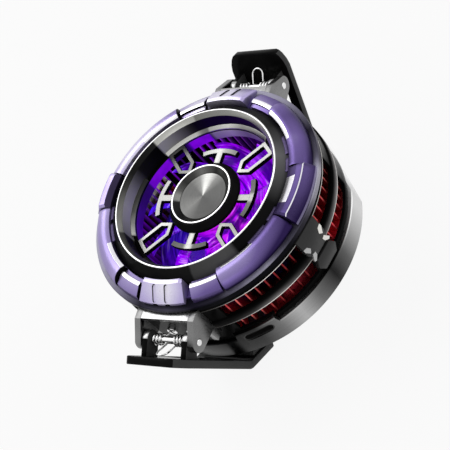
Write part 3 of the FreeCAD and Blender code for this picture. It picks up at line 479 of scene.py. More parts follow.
def rolled_metal(name, base, roughness, metallic=1.0):
    """Sheet and wire metal with a straight rolled grain."""
    finish = Finish(name, base, roughness, metallic)
    x, y, z = finish.split()
    marks = finish.noise(1.0, 3.0, finish.vector(x * 0.9, y * 7.0, z * 0.9))
    finish.drift(finish.noise(120.0), base, 0.12, 0.06)
    finish.wear(marks, roughness, 0.05, 0.07)
    finish.bump(marks, 0.006, 0.4)
    return finish.material


def rubber(name, base, roughness=0.7):
    finish = Finish(name, base, roughness, 0.0, specular_ior_level=0.3)
    grit = finish.noise(5000.0)
    finish.drift(grit, base, 0.2, 0.06)
    finish.bump(grit, 0.02, 0.5)
    return finish.material


def board(name, base):
    """A printed board: lacquer over faint tracks."""
    finish = Finish(name, base, 0.35)
    tracks = finish.node("ShaderNodeTexVoronoi", {"feature": "DISTANCE_TO_EDGE"},
                         {"Vector": finish.place, "Scale": 900.0})
    edge = finish.spread(tracks, 0.02, 0.08, 1.0, 0.0)
    finish.set("Base Color", finish.mix(edge, base, toned(base, 0.25)))
    finish.bump(edge, 0.02, 0.5)
    return finish.material


def ceramic(name):
    finish = Finish(name, (0.8, 0.8, 0.78), 0.6)
    grit = finish.noise(4000.0)
    finish.set("Base Color", finish.mix(grit, (0.72, 0.72, 0.70), (0.86, 0.86, 0.84)))
    finish.bump(grit, 0.01, 0.4)
    return finish.material


def wound_copper(name):
    """Enamelled winding wire."""
    finish = Finish(name, (0.62, 0.22, 0.08), 0.3, 1.0)
    wire = 0.15
    turns = (finish.split()[2] * (math.pi / wire)).math("SINE")
    finish.set("Base Color", finish.mix(finish.spread(turns, -1.0, 1.0), (0.35, 0.1, 0.03), (0.7, 0.27, 0.1)))
    finish.bump(turns, 0.06, 0.8)
    return finish.material


def lit_plastic(name, base, strength, highlight_share, bands=None):
    """Clear violet plastic, with the light of the lamps under it painted on as emission: colours by angle,
    painted highlight streaks and painted shadow.
    """
    finish = Finish(name, base, 0.25, 0.0, specular_ior_level=0.2, emission_strength=strength)
    angle, radius, level = finish.polar()
    highlight_streak = finish.noise(1.0, 4.0, finish.vector(angle * 1.3, radius / 0.7, level / 3.0))
    shadow = finish.noise(1.0, 3.0, finish.vector(angle * 1.8, radius / 5.0, level / 6.0))
    lamps = finish.ramp(
        finish.spread(angle, -math.pi, math.pi),
        (0.00, (0.03, 0.01, 0.75)),
        (0.14, (0.12, 0.00, 0.62)),
        (0.26, (0.38, 0.00, 0.75)),
        (0.40, (0.75, 0.02, 0.90)),
        (0.50, (0.52, 0.00, 0.95)),
        (0.62, (0.36, 0.00, 0.85)),
        (0.80, (0.24, 0.00, 0.68)),
        (0.94, (0.05, 0.01, 0.75)),
        (1.00, (0.03, 0.01, 0.75)))
    light = finish.mix(finish.spread(highlight_streak, 0.60, 0.72, 0.0, highlight_share), lamps, (1.0, 0.55, 1.0))
    light = finish.mix(finish.spread(highlight_streak, 0.36, 0.50, 0.9, 0.0), light, (0.012, 0.0, 0.06))
    light = finish.mix(finish.spread(shadow, 0.40, 0.52, 0.93, 0.0), light, (0.006, 0.0, 0.03))
    if bands:
        light = finish.mix(finish.sweep(bands), grey(0.0), light)
    finish.set("Emission Color", light)
    return finish.material


def shouldered(name):
    """Black rib with a painted highlight along its rear edge."""
    finish = Finish(name, grey(0.01), 0.3, 0.0, specular_ior_level=FAINT_GLOSS)
    edge = finish.spread(finish.split()[2], rib_rear + 0.5, window_low - 0.2, 1.0, 0.0).math("POWER", 1.8)
    light = finish.sweep(RIB_LIGHT) * edge + finish.ripple(70.0, 0.02)
    finish.set("Base Color", finish.ramp(light, (0.0, grey(0.003)), (1.0, (0.50, 0.48, 0.48))))
    return finish.material


def washed(name):
    """Dark wall with satin grey plates painted on as colour that runs in bands of painted light about the
    axis, and painted violet light where the fan's light reaches it.
    """
    finish = Finish(name, grey(0.01), 0.3, 0.0, specular_ior_level=FAINT_GLOSS)
    light = finish.sweep(WALL_LIGHT) + finish.ripple(55.0, 0.03)
    plain = finish.ramp(light, (0.0, grey(0.002)), (1.0, (0.60, 0.60, 0.57)))
    finish.set("Base Color", finish.mix(finish.sweep(WALL_VIOLET_LIGHT), plain, (0.010, 0.001, 0.038)))
    return finish.material


def glowing(name):
    """Dark wall with the violet light of the fan's lamps painted on as emission, and a painted highlight on
    the lip at its front.
    """
    dark = (0.02, 0.01, 0.04)
    finish = Finish(name, dark, 0.3, 0.0, specular_ior_level=0.2, emission_strength=1.0)
    lip_foot, lip_top = 21.4, 21.8
    # Painted highlight: the lip at the wall's front turns pale over the angles of THROAT_LIGHT
    lip = finish.spread(finish.split()[2], lip_foot, lip_top) * finish.sweep(THROAT_LIGHT)
    light = finish.sweep(GLOW_LIGHT) * finish.stretched(finish.noise(260.0), 0.75, 1.1)
    light = light - finish.spread(lip, 0.0, 0.1)
    violets = (0.0, grey(0.0)), (0.4, (0.05, 0.0, 0.30)), (1.0, (0.26, 0.0, 0.85))
    finish.set("Emission Color", finish.ramp(light, *violets))
    finish.set("Base Color", finish.mix(lip, dark, (0.75, 0.75, 0.70)))
    return finish.material


def finned(name, base):
    """Red fins with painted light: violet glow and cream highlights at their inner ends, painted shade in
    their middles and painted highlights on their outer edges.
    """
    finish = Finish(name, base, 0.3, 0.7, specular_ior_level=0.2, emission_strength=1.0)
    radius, level = finish.polar()[1:]
    cloud = finish.noise(60.0)
    depth = finish.spread(radius, fin_inner_radius + 0.1, fin_inner_radius + 1.6, 1.0, 0.0)
    rise = finish.spread(level, fin_rear, fin_front, 0.15, 1.0)
    glow = finish.sweep(FIN_GLOW) * depth * rise
    violets = (0.0, grey(0.0)), (0.3, (0.03, 0.0, 0.12)), (1.0, (0.22, 0.0, 0.60))
    finish.set("Emission Color", finish.ramp(glow, *violets))
    # Painted light and shade on the fins' sides, a painted bright red highlight, and painted shadow towards
    # their middles
    light = finish.sweep(FIN_LIGHT) * finish.spread(cloud, 0.35, 0.65, 0.3, 1.2)
    red_highlight = finish.sweep(FIN_HIGHLIGHT) * finish.spread(cloud, 0.4, 0.6, 0.35, 1.0)
    shadow = finish.spread(radius, fin_outer_radius - 5.0, fin_outer_radius - 2.0, 0.85, 0.0)
    inside_end = finish.spread(radius, fin_inner_radius + 0.5, fin_inner_radius + 1.5, 1.0, 0.0)
    outside_end = finish.spread(radius, fin_outer_radius - 0.2, fin_outer_radius - 0.1)
    patch = finish.spread(finish.noise(420.0), 0.35, 0.6, 0.15, 1.0)
    side = finish.mix(light, toned(base, -0.92), base)
    side = finish.mix(red_highlight, side, (0.85, 0.03, 0.06))
    side = finish.mix(shadow, side, toned(base, -0.97))
    side = finish.mix(inside_end * finish.sweep(CREAM_LIGHT), side, (0.62, 0.50, 0.42))
    side = finish.mix(outside_end * finish.sweep(EDGE_LIGHT) * patch, side, (0.80, 0.22, 0.18))
    finish.set("Base Color", side)
    finish.blast(0.3)
    return finish.material


# Painted light and shade about the axis, as angles in degrees and levels from dark to bright. Each closes on
# itself.
RING_LIGHT = ((-180, 0.62), (-165, 0.6), (-148, 0.5), (-130, 0.52), (-118, 0.64), (-106, 0.64),
              (-98, 0.75), (-86, 0.95), (-76, 0.62), (-66, 0.52), (-42, 0.46), (-28, 0.27), (-14, 0.1),
              (10, 0.24), (30, 0.38), (46, 0.22), (62, 0.5), (76, 0.62), (90, 0.9), (112, 0.85),
              (124, 0.45), (140, 0.8), (160, 0.85))
FOOT_SHADE = ((-180, 0.3), (-150, 0.6), (-60, 0.9), (-30, 1.0), (60, 1.0), (90, 0.5), (115, 0.0),
              (165, 0.0))
FLANGE_LIGHT = ((-180, 0.85), (-140, 0.75), (-118, 0.5), (-104, 0.04), (-90, 0.25), (-76, 0.0),
                (-24, 0.0), (-12, 0.15), (0, 0.75), (13, 0.95), (21, 0.3), (36, 0.5), (46, 0.02),
                (52, 0.1), (62, 0.8), (76, 0.3), (90, 0.9), (150, 0.9))
FACE_LIGHT = ((-180, 0.85), (-140, 0.75), (-118, 0.5), (-104, 0.04), (-88, 0.2), (-74, 0.0),
              (-62, 0.05), (-48, 0.6), (-36, 0.72), (-24, 0.2), (-12, 0.2), (0, 0.9), (12, 1.0),
              (22, 0.3), (36, 0.04), (48, 0.45), (62, 0.7), (90, 0.9), (150, 0.9))
LINE_LIGHT = ((-180, 0.5), (-80, 0.1), (-66, 0.1), (-56, 0.5), (-48, 1.0), (-34, 0.9), (-22, 0.35),
              (-12, 0.2), (0, 0.7), (30, 0.9), (90, 0.3), (140, 0.9))
RIB_LIGHT = ((-180, 0.5), (-120, 0.3), (-66, 0.02), (-54, 0.2), (-42, 0.75), (-34, 0.4), (-24, 0.08),
             (-14, 0.3), (0, 0.55), (12, 1.0), (24, 0.75), (36, 1.0), (80, 0.5), (140, 0.9))
BASE_LIGHT = ((-180, 0.3), (-158, 0.6), (-138, 0.2), (-115, 0.02), (-86, 0.0), (-74, 0.0), (-60, 0.02),
              (-50, 0.16), (-40, 0.46), (-30, 0.15), (-18, 0.0), (-8, 0.1), (4, 0.45), (15, 0.7),
              (28, 0.68), (37, 0.98), (58, 0.98), (84, 0.2), (112, 0.5), (138, 0.95), (158, 0.4))
DISC_LIGHT = ((-180, 0.08), (-130, 0.14), (-90, 0.05), (-40, 0.04), (0, 0.06), (40, 0.07), (66, 0.18),
              (88, 0.6), (100, 0.64), (118, 0.2), (145, 0.08))
HUB_LIGHT = ((-180, 0.45), (-168, 0.4), (-164, 0.03), (-90, 0.02), (20, 0.03), (60, 0.16), (75, 0.05),
             (110, 0.3), (128, 0.1), (150, 0.06), (170, 0.2))
BAR_LIGHT = ((-180, 0.2), (-150, 0.35), (-130, 0.3), (-60, 0.1), (-20, 0.25), (0, 0.1), (20, 0.5),
             (34, 0.35), (60, 0.3), (140, 0.1), (160, 0.3))
CONE_LIGHT = ((-180, 0.03), (-110, 0.02), (-73, 0.05), (-72, 0.3), (-50, 0.45), (-44, 0.4),
              (-43, 0.02), (-10, 0.05), (8, 0.55), (22, 0.9), (34, 0.4), (48, 0.1), (120, 0.03))
BEVEL_LIGHT = ((-180, 0.04), (-165, 0.16), (-150, 0.34), (-144, 0.3), (-143.5, 0.05), (-120, 0.14),
               (-90, 0.1), (-40, 0.02), (0, 0.1), (25, 0.7), (60, 0.72), (82, 0.42), (100, 0.32),
               (110.5, 0.26), (111, 0.58), (142.5, 0.68), (143, 0.01), (168, 0.01))
WALL_LIGHT = ((-180, 0.6), (-168, 0.85), (-158, 0.75), (-144, 0.4), (-143.5, 0.02), (-60, 0.0),
              (60, 0.02), (113, 0.01), (118, 0.08), (126, 0.38), (135, 0.8), (142.5, 0.9), (143, 0.0),
              (163, 0.02), (170, 0.22))
WALL_VIOLET_LIGHT = ((-180, 0.0), (-143, 0.0), (-130, 0.3), (40, 0.2), (60, 0.8), (80, 1.0), (103, 0.85),
               (113, 0.25), (120, 0.0))
FIN_LIGHT = ((-180, 0.7), (-100, 0.6), (-66, 1.2), (-54, 1.0), (-46, 0.42), (-26, 0.22), (-18, 0.1),
             (-9, 1.1), (0, 1.2), (10, 0.8), (20, 0.4), (60, 0.5), (140, 0.8))
FIN_HIGHLIGHT = ((-180, 0.0), (-100, 0.0), (-66, 1.0), (-56, 0.9), (-50, 0.1), (-12, 0.1), (-7, 1.0),
            (2, 0.8), (9, 0.1))
EDGE_LIGHT = ((-180, 0.6), (-62, 0.9), (-54, 0.6), (-46, 0.12), (-22, 0.05), (-12, 0.3), (20, 0.3),
              (140, 0.8))
CREAM_LIGHT = ((-180, 0.5), (-165, 0.0), (80, 0.0), (88, 0.6), (100, 1.0), (122, 0.9), (130, 0.2),
               (160, 0.2), (168, 0.8))
FIN_GLOW = ((-180, 0.4), (-150, 0.6), (-120, 0.8), (-80, 0.6), (-58, 0.7), (-52, 0.0), (-20, 0.0),
            (60, 0.0), (75, 0.5), (84, 0.2), (104, 0.2), (107, 0.8), (124, 0.75), (128, 0.15),
            (143, 0.15), (145, 0.8), (166, 0.62), (168, 0.15))
LIP_LIGHT = ((-180, 0.05), (-168, 0.1), (-158, 0.35), (-148, 0.8), (-147.5, 0.05), (-120, 0.03),
             (40, 0.1), (60, 0.5), (78, 0.45), (90, 1.0), (106, 0.6), (107, 0.2), (112, 0.3),
             (116, 0.75), (142, 0.85), (142.5, 0.02), (165, 0.03))
GLOW_LIGHT = ((-180, 0.1), (-150, 0.3), (-135, 0.1), (-100, 0.3), (-60, 0.6), (-20, 0.9), (30, 0.8),
              (60, 0.3), (84, 0.1), (104, 0.3), (106, 0.85), (124, 0.75), (126, 0.1), (143, 0.15),
              (144, 0.8), (166, 0.62), (167, 0.12))
GUARD_LIGHT = ((-180, 0.6), (-158, 0.5), (-148, 0.8), (-130, 0.6), (-112, 0.08), (-96, 0.12),
               (-92, 0.7), (-88, 0.7), (-84, 0.12), (-68, 0.08), (-60, 0.3), (-45, 0.55), (-32, 0.3),
               (-22, 0.08), (-6, 0.15), (-3, 0.55), (3, 0.55), (6, 0.15), (22, 0.12), (30, 0.6),
               (45, 0.85), (60, 0.7), (70, 0.25), (84, 0.5), (90, 0.9), (112, 0.6), (122, 0.2),
               (135, 0.4), (150, 0.2), (160, 0.6))
THROAT_LIGHT = ((-180, 0.0), (56, 0.0), (60, 0.45), (76, 0.4), (90, 1.0), (104, 0.7), (107, 0.0))


finishes = {}


def ring_tones(share):
    """The front ring's tones from dark to pale, the ends of its painted light and shade, each moved by a
    share.
    """
    tones = shade("purple"), shade("lilac"), shade("lavender"), (0.92, 0.90, 0.98)
    return [toned(tone, share) for tone in tones]


def make_finishes():
    """Every finish of the object, under the record's name for it or its place on a piece."""
    finishes.update({
        "silicone": rubber("Contact Silicone", (0.30, 0.31, 0.34), 0.6),
        "foam": rubber("Gasket Foam", grey(0.03), 0.9),
        "jaw_rubber": rubber("Jaw Rubber", grey(0.018)),
        "bare_aluminium": turned_metal("Turned Aluminium", (0.68, 0.68, 0.70)),
        "bearing_brass": turned_metal("Bearing Bronze", (0.62, 0.38, 0.14)),
        "lamination": turned_metal("Lamination", (0.10, 0.10, 0.11), 0.45),
        "bright_steel": rolled_metal("Bright Steel", shade("bright"), 0.14),
        "satin_steel": rolled_metal("Satin Steel", shade("steel"), 0.3),
        # Grey metal painted as highlight on the brackets' webs and the levers' knuckles, and as painted shade
        # on the pillars' shaded facets
        "lip": rolled_metal("Bracket Lip", grey(0.42), 0.25, 0.9),
        "satin_grey": rolled_metal("Satin Guard", shade("satin"), 0.32, 0.9),
        # Pale metal painted as highlight on the pillars' corner facets
        "trim": rolled_metal("Polished Trim", (0.80, 0.78, 0.74), 0.2),
        "black_gloss": moulded("Gloss Black Moulding", shade("black"), 0.2),
        "black_plastic": moulded("Black Moulding", grey(0.02), 0.45),
        "dark_metal": moulded("Dark Metal", shade("dark_metal"), 0.26),
        "dark_satin": anodised("Dark Satin", grey(0.028), 0.32, 0.4, 0.01),
        # Near white anodising painted as highlight on the front ring's chamfers, lips and a side block's
        # slope
        "ring_edge": anodised("Bright Chamfer", (0.88, 0.86, 0.92), 0.2, 0.9),
        "lever_black": lacquered("Lever Lacquer", shade("black")),
        # Grey lacquer painted as highlight on the levers' sides
        "lever_edge": lacquered("Lever Edge", grey(0.07), 0.3),
        # The swept finishes paint light and shade into their colour, in bands about the axis from their
        # tables; the front ring's purples, lavender, crest and flank are lit and shaded copies of one
        # anodising
        "purple": swept("Purple Anodised", ring_tones(0.0), RING_LIGHT, fall=0.55),
        "deep_purple": swept("Deep Purple Anodised", ring_tones(-0.35), RING_LIGHT, 0.28, fall=0.35),
        "lavender": swept("Lavender Anodised", ring_tones(0.05), RING_LIGHT, fall=0.3),
        "crest": swept("Block Crest", ring_tones(-0.1), RING_LIGHT, fall=0.5),
        "flank": swept("Block Flank", ring_tones(0.10), RING_LIGHT),
        "bar": swept("Collar Bar", ((0.008, 0.006, 0.016), (0.09, 0.07, 0.15), (0.34, 0.31, 0.44)),
                     BAR_LIGHT),
        "flange_face": swept("Flange Face", ((0.006, 0.005, 0.012), (0.17, 0.16, 0.22), (0.60, 0.58, 0.72)),
                             FACE_LIGHT, 0.4, 0.2),
        "flange": swept("Flange", ((0.002, 0.002, 0.004), (0.14, 0.13, 0.17), (0.60, 0.58, 0.66)),
                        FLANGE_LIGHT, 0.4, 0.2),
        # A proud band painted as the highlight along the window edges and the rib
        "line": swept("Polished Line", (grey(0.02), (0.85, 0.82, 0.78)), LINE_LIGHT, 0.25, 0.8),
        "gunmetal": swept("Brushed Gunmetal", (shade("gunmetal"), shade("silver")), BASE_LIGHT,
                          metallic=1.0, grain=0.12),
        "spun_disc": swept("Spun Disc", (grey(0.03), (0.62, 0.62, 0.60)), DISC_LIGHT,
                           metallic=1.0, grain=0.18),
        "hub_slope": swept("Hub Slope", (grey(0.004), (0.5, 0.5, 0.48)), HUB_LIGHT, metallic=0.8),
        "guard_face": swept("Guard Face", (grey(0.02), (0.52, 0.52, 0.50)), GUARD_LIGHT, 0.32, 0.9),
        "throat_lip": swept("Throat Lip", (grey(0.005), (0.62, 0.62, 0.59)), LIP_LIGHT, metallic=0.9),
        "funnel_bevel": swept("Funnel Bevel", (grey(0.006), (0.62, 0.62, 0.58)), BEVEL_LIGHT, metallic=0.9),
        "funnel_cone": swept("Funnel Cone", (grey(0.001), grey(0.24)), CONE_LIGHT, metallic=0.0),
        "funnel_wall": washed("Funnel Wall"),
        "throat_glow": glowing("Throat Glow"),
        "rib": shouldered("Rib"),
        "red_aluminium": finned("Red Anodised", shade("red")),
        "board_green": board("Board Green", (0.01, 0.12, 0.05)),
        "board_white": board("Board White", (0.6, 0.6, 0.62)),
        "ceramic": ceramic("Ceramic Plates"),
        "copper": wound_copper("Winding Copper"),
        "lamp": lit_plastic("Lamp", (0.6, 0.4, 1.0), 1.5, 0.3),
        "diffuser": lit_plastic("Light Ring", (0.05, 0.01, 0.16), 0.8, 0.6, FIN_GLOW),
        "violet_plastic": lit_plastic("Lit Fan", shade("violet"), 1.0, 0.8),
    })


# Mesh work, in millimetres


class Solid:
    """Closed shapes gathered in one mesh."""

    def __init__(self):
        self.mesh = bmesh.new()

    def face(self, verts, index=0):
        self.mesh.faces.new(verts).material_index = index

    def skin(self, rows, closed=False, indices=None):
        """Join closed rows of points with quads; indices gives the finish of each column."""
        grid = [[self.mesh.verts.new(p) for p in row] for row in rows]
        width = len(grid[0])
        for i in range(len(grid) - (0 if closed else 1)):
            a, b = grid[i], grid[(i + 1) % len(grid)]
            for j in range(width):
                k = (j + 1) % width
                self.face((a[j], a[k], b[k], b[j]), indices[j] if indices else 0)
        if not closed:
            self.face(grid[0])
            self.face(grid[-1])
        return self

    def lathe(self, outline, start=0.0, end=FULL_TURN, indices=None, step=ARC_STEP):
        """Turn a closed (radius, level) outline about the axis."""
        whole = end - start >= FULL_TURN
        count = max(2, round((end - start) / step))
        stations = range(count if whole else count + 1)
        rows = [swung(outline, start + (end - start) * i / count) for i in stations]
        return self.skin(rows, whole, indices)

    def dome(self, outline, step=3.0):
        """Turn an open (radius, level) outline that starts and ends on the axis."""
        count = round(FULL_TURN / step)
        turns = [2 * math.pi * i / count for i in range(count)]
        rings = []
        for r, z in outline[1:-1]:
            rings.append([self.mesh.verts.new((r * math.cos(a), r * math.sin(a), z)) for a in turns])
        ends = [self.mesh.verts.new((0, 0, outline[i][1])) for i in (0, -1)]
        for i in range(count):
            k = (i + 1) % count
            self.face((ends[0], rings[0][i], rings[0][k]))
            self.face((ends[1], rings[-1][k], rings[-1][i]))
            for a, b in zip(rings, rings[1:]):
                self.face((a[i], b[i], b[k], a[k]))
        return self

    def prism(self, outline, shift):
        """Push a closed outline of points through a vector."""
        shift = Vector(shift)
        return self.skin([[Vector(p) for p in outline], [Vector(p) + shift for p in outline]])

    def tube(self, path, radius, sides):
        """A round rod along a list of points."""
        rows = []
        side = (path[1] - path[0]).orthogonal().normalized()
        for i, point in enumerate(path):
            ahead = (path[min(i + 1, len(path) - 1)] - path[max(i - 1, 0)]).normalized()
            side = (side - ahead * side.dot(ahead)).normalized()
            up = ahead.cross(side)
            turns = [2 * math.pi * k / sides for k in range(sides)]
            rows.append([point + (side * math.cos(t) + up * math.sin(t)) * radius for t in turns])
        return self.skin(rows)

    def windowed_wall(self, outer, inner, is_open, closed, indices=None):
        """A wall made of cells; outer and inner hold columns of points, and is_open tells which cells go."""
        rows = len(outer[0])
        out, back = [[[self.mesh.verts.new(p) for p in row] for row in face] for face in (outer, inner)]
        count = len(outer) - (0 if closed else 1)
        full = [[not is_open(i, j) for j in range(rows - 1)] for i in range(count)]

        def solid(i, j):
            if closed:
                i %= count
            return 0 <= i < count and 0 <= j < rows - 1 and full[i][j]

        for i in range(count):
            k = (i + 1) % len(outer)
            for j in range(rows - 1):
                if not full[i][j]:
                    continue
                index = indices[j] if indices else 0
                self.face((out[i][j], out[k][j], out[k][j + 1], out[i][j + 1]), index)
                self.face((back[i][j], back[i][j + 1], back[k][j + 1], back[k][j]), index)
                sides = (((i - 1, j), (i, j), (i, j + 1)), ((i + 1, j), (k, j), (k, j + 1)),
                         ((i, j - 1), (i, j), (k, j)), ((i, j + 1), (i, j + 1), (k, j + 1)))
                for near, (a, b), (c, d) in sides:
                    if not solid(*near):
                        self.face((out[a][b], out[c][d], back[c][d], back[a][b]), index)
        for face in (out, back):
            for row in face:
                for vert in row:
                    if not vert.link_faces:
                        self.mesh.verts.remove(vert)
        return self

    def moved(self, matrix):
        bmesh.ops.transform(self.mesh, matrix=matrix, verts=self.mesh.verts)
        return self

    def take(self, other):
        """Add another solid's faces to this one, and drop the other."""
        mesh = bpy.data.meshes.new("part")
        other.mesh.to_mesh(mesh)
        other.mesh.free()
        self.mesh.from_mesh(mesh)
        bpy.data.meshes.remove(mesh)
        return self


def spin(angle):
    return Matrix.Rotation(math.radians(angle), 4, "Z")


def arc(centre, radius, start, end, count):
    """Points of a circle in a plane, from one angle to another in degrees."""
    angles = [math.radians(start + (end - start) * i / count) for i in range(count + 1)]
    return [(centre[0] + radius * math.cos(a), centre[1] + radius * math.sin(a)) for a in angles]


def through(start, middle, end, count):
    """Points of the circle through three places."""
    (ax, ay), (bx, by), (cx, cy) = start, middle, end
    d = 2 * (ax * (by - cy) + bx * (cy - ay) + cx * (ay - by))
    a2, b2, c2 = ax * ax + ay * ay, bx * bx + by * by, cx * cx + cy * cy
    ux = (a2 * (by - cy) + b2 * (cy - ay) + c2 * (ay - by)) / d
    uy = (a2 * (cx - bx) + b2 * (ax - cx) + c2 * (bx - ax)) / d
    first = math.degrees(math.atan2(ay - uy, ax - ux))
    last = math.degrees(math.atan2(cy - uy, cx - ux))
    turn = (last - first + FULL_TURN / 2) % FULL_TURN - FULL_TURN / 2
    return arc((ux, uy), math.hypot(ax - ux, ay - uy), first, first + turn, count)


def swung(section, angle):
    """A (radius, level) section, in the half plane at an angle about the axis."""
    a = math.radians(angle)
    return [(r * math.cos(a), r * math.sin(a), z) for r, z in section]


def flat_points(outline, level):
    return [(x, y, level) for x, y in outline]


def side_points(outline, x):
    return [(x, y, z) for y, z in outline]


def turned_points(points, angle):
    a = math.radians(angle)
    return [(x * math.cos(a) - y * math.sin(a), x * math.sin(a) + y * math.cos(a), z) for x, y, z in points]


def new_object(name, solid, materials):
    """Turn a solid into an object in metres."""
    bmesh.ops.remove_doubles(solid.mesh, verts=solid.mesh.verts, dist=0.001)
    bmesh.ops.recalc_face_normals(solid.mesh, faces=solid.mesh.faces)
    solid.moved(Matrix.Scale(MM, 4))
    mesh = bpy.data.meshes.new(name)
    solid.mesh.to_mesh(mesh)
    solid.mesh.free()
    obj = bpy.data.objects.new(name, mesh)
    bpy.context.scene.collection.objects.link(obj)
    for material in materials:
        mesh.materials.append(finishes[material])
    return obj


def smooth(obj, angle):
    for polygon in obj.data.polygons:
        polygon.use_smooth = True
    obj.data.set_sharp_from_angle(angle=math.radians(angle))


def break_edges(obj, width, segments, angle=EDGE_ANGLE):
    bevel = obj.modifiers.new("Edge Break", "BEVEL")
    bevel.width = width * MM
    bevel.segments = segments
    bevel.limit_method = "ANGLE"
    bevel.angle_limit = math.radians(angle)


def combine(obj, tool, operation):
    """Take a solid away from an object, or join it on."""
    other = new_object("tool", tool, [])
    for material in obj.data.materials:
        other.data.materials.append(material)
    boolean = obj.modifiers.new("Combine", "BOOLEAN")
    boolean.object = other
    boolean.operation = operation
    boolean.solver = "EXACT"
    bake(obj)
    mesh = other.data
    bpy.data.objects.remove(other)
    bpy.data.meshes.remove(mesh)


def bake(obj):
    """Replace the object's mesh by the result of its modifiers."""
    graph = bpy.context.evaluated_depsgraph_get()
    mesh = bpy.data.meshes.new_from_object(obj.evaluated_get(graph), depsgraph=graph)
    obj.modifiers.clear()
    old = obj.data
    obj.data = mesh
    bpy.data.meshes.remove(old)


def dress(obj, body, slot, *nodes, edge=None, angle=EDGE_ANGLE):
    """Finish a piece: break its edges, hang it on its body and let it stand for its nodes."""
    if edge != 0:
        break_edges(obj, edge or size("edge"), 2, angle)
        bake(obj)
    smooth(obj, angle)
    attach(obj, body)
    if nodes:
        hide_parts(*nodes)
    return obj


def face_finish(obj, index, test):
    """Give the faces that pass a test another finish."""
    for polygon in obj.data.polygons:
        if test(polygon):
            polygon.material_index = index


def repeat_tree():
    """Copies a shape about the fan's axis. Inputs: shape, count, first angle, step and finish."""
    tree = bpy.data.node_groups.new("Round The Axis", "GeometryNodeTree")
    sockets = tree.interface
    for name, kind in (("Shape", "Geometry"), ("Count", "Int"), ("First Angle", "Float"), ("Step", "Float"),
                       ("Finish", "Material")):
        sockets.new_socket(name, in_out="INPUT", socket_type="NodeSocket" + kind)
    sockets.new_socket("Shape", in_out="OUTPUT", socket_type="NodeSocketGeometry")
    given = tree.nodes.new("NodeGroupInput")
    result = tree.nodes.new("NodeGroupOutput")
    points = tree.nodes.new("GeometryNodePoints")
    number = tree.nodes.new("GeometryNodeInputIndex")
    angle = tree.nodes.new("ShaderNodeMath")
    angle.operation = "MULTIPLY_ADD"
    turn = tree.nodes.new("ShaderNodeCombineXYZ")
    place = tree.nodes.new("GeometryNodeInstanceOnPoints")
    real = tree.nodes.new("GeometryNodeRealizeInstances")
    paint = tree.nodes.new("GeometryNodeSetMaterial")
    for source, target in (
            (given.outputs["Count"], points.inputs["Count"]),
            (number.outputs[0], angle.inputs[0]),
            (given.outputs["Step"], angle.inputs[1]),
            (given.outputs["First Angle"], angle.inputs[2]),
            (angle.outputs[0], turn.inputs[2]),
            (points.outputs[0], place.inputs["Points"]),
            (given.outputs["Shape"], place.inputs["Instance"]),
            (turn.outputs[0], place.inputs["Rotation"]),
            (place.outputs[0], real.inputs[0]),
            (real.outputs[0], paint.inputs["Geometry"]),
            (given.outputs["Finish"], paint.inputs["Material"]),
            (paint.outputs[0], result.inputs[0])):
        tree.links.new(source, target)
    return tree


def repeated(name, solid, count, first_angle, finish, edge):
    """An object that repeats a solid evenly about the fan's axis."""
    tree = bpy.data.node_groups.get("Round The Axis") or repeat_tree()
    obj = new_object(name, solid, [finish])
    if edge:
        break_edges(obj, edge, 1)
    modifier = obj.modifiers.new("Round The Axis", "NODES")
    modifier.node_group = tree
    ids = {item.name: item.identifier for item in tree.interface.items_tree if item.in_out == "INPUT"}
    modifier[ids["Count"]] = count
    modifier[ids["First Angle"]] = math.radians(first_angle)
    modifier[ids["Step"]] = math.radians(FULL_TURN / count)
    modifier[ids["Finish"]] = finishes[finish]
    bake(obj)
    return obj


def around(edges):
    """Angles of a whole turn with the given edges among them and no sliver cells."""
    angles = sorted(set(float(e) for e in edges) | {START_ANGLE})
    result = []
    for a, b in zip(angles, angles[1:] + [START_ANGLE + FULL_TURN]):
        count = max(1, round((b - a) / ARC_STEP))
        result += [a + (b - a) * i / count for i in range(count)]
    return result


def place_of(polygon):
    """Angle in degrees, radius and level of a face's middle."""
    x, y, z = polygon.center / MM
    return math.degrees(math.atan2(y, x)), math.hypot(x, y), z


def on_end(polygon):
    """Whether a face closes the end of an arc."""
    x, y = polygon.center.xy
    return abs(Vector((-y, x, 0)).normalized().dot(polygon.normal)) > 0.8


def inside(angle, arcs):
    """Whether an angle lies within one of the arcs."""
    return any(0 < (angle - start) % FULL_TURN < end - start for start, end in arcs)


# The pieces


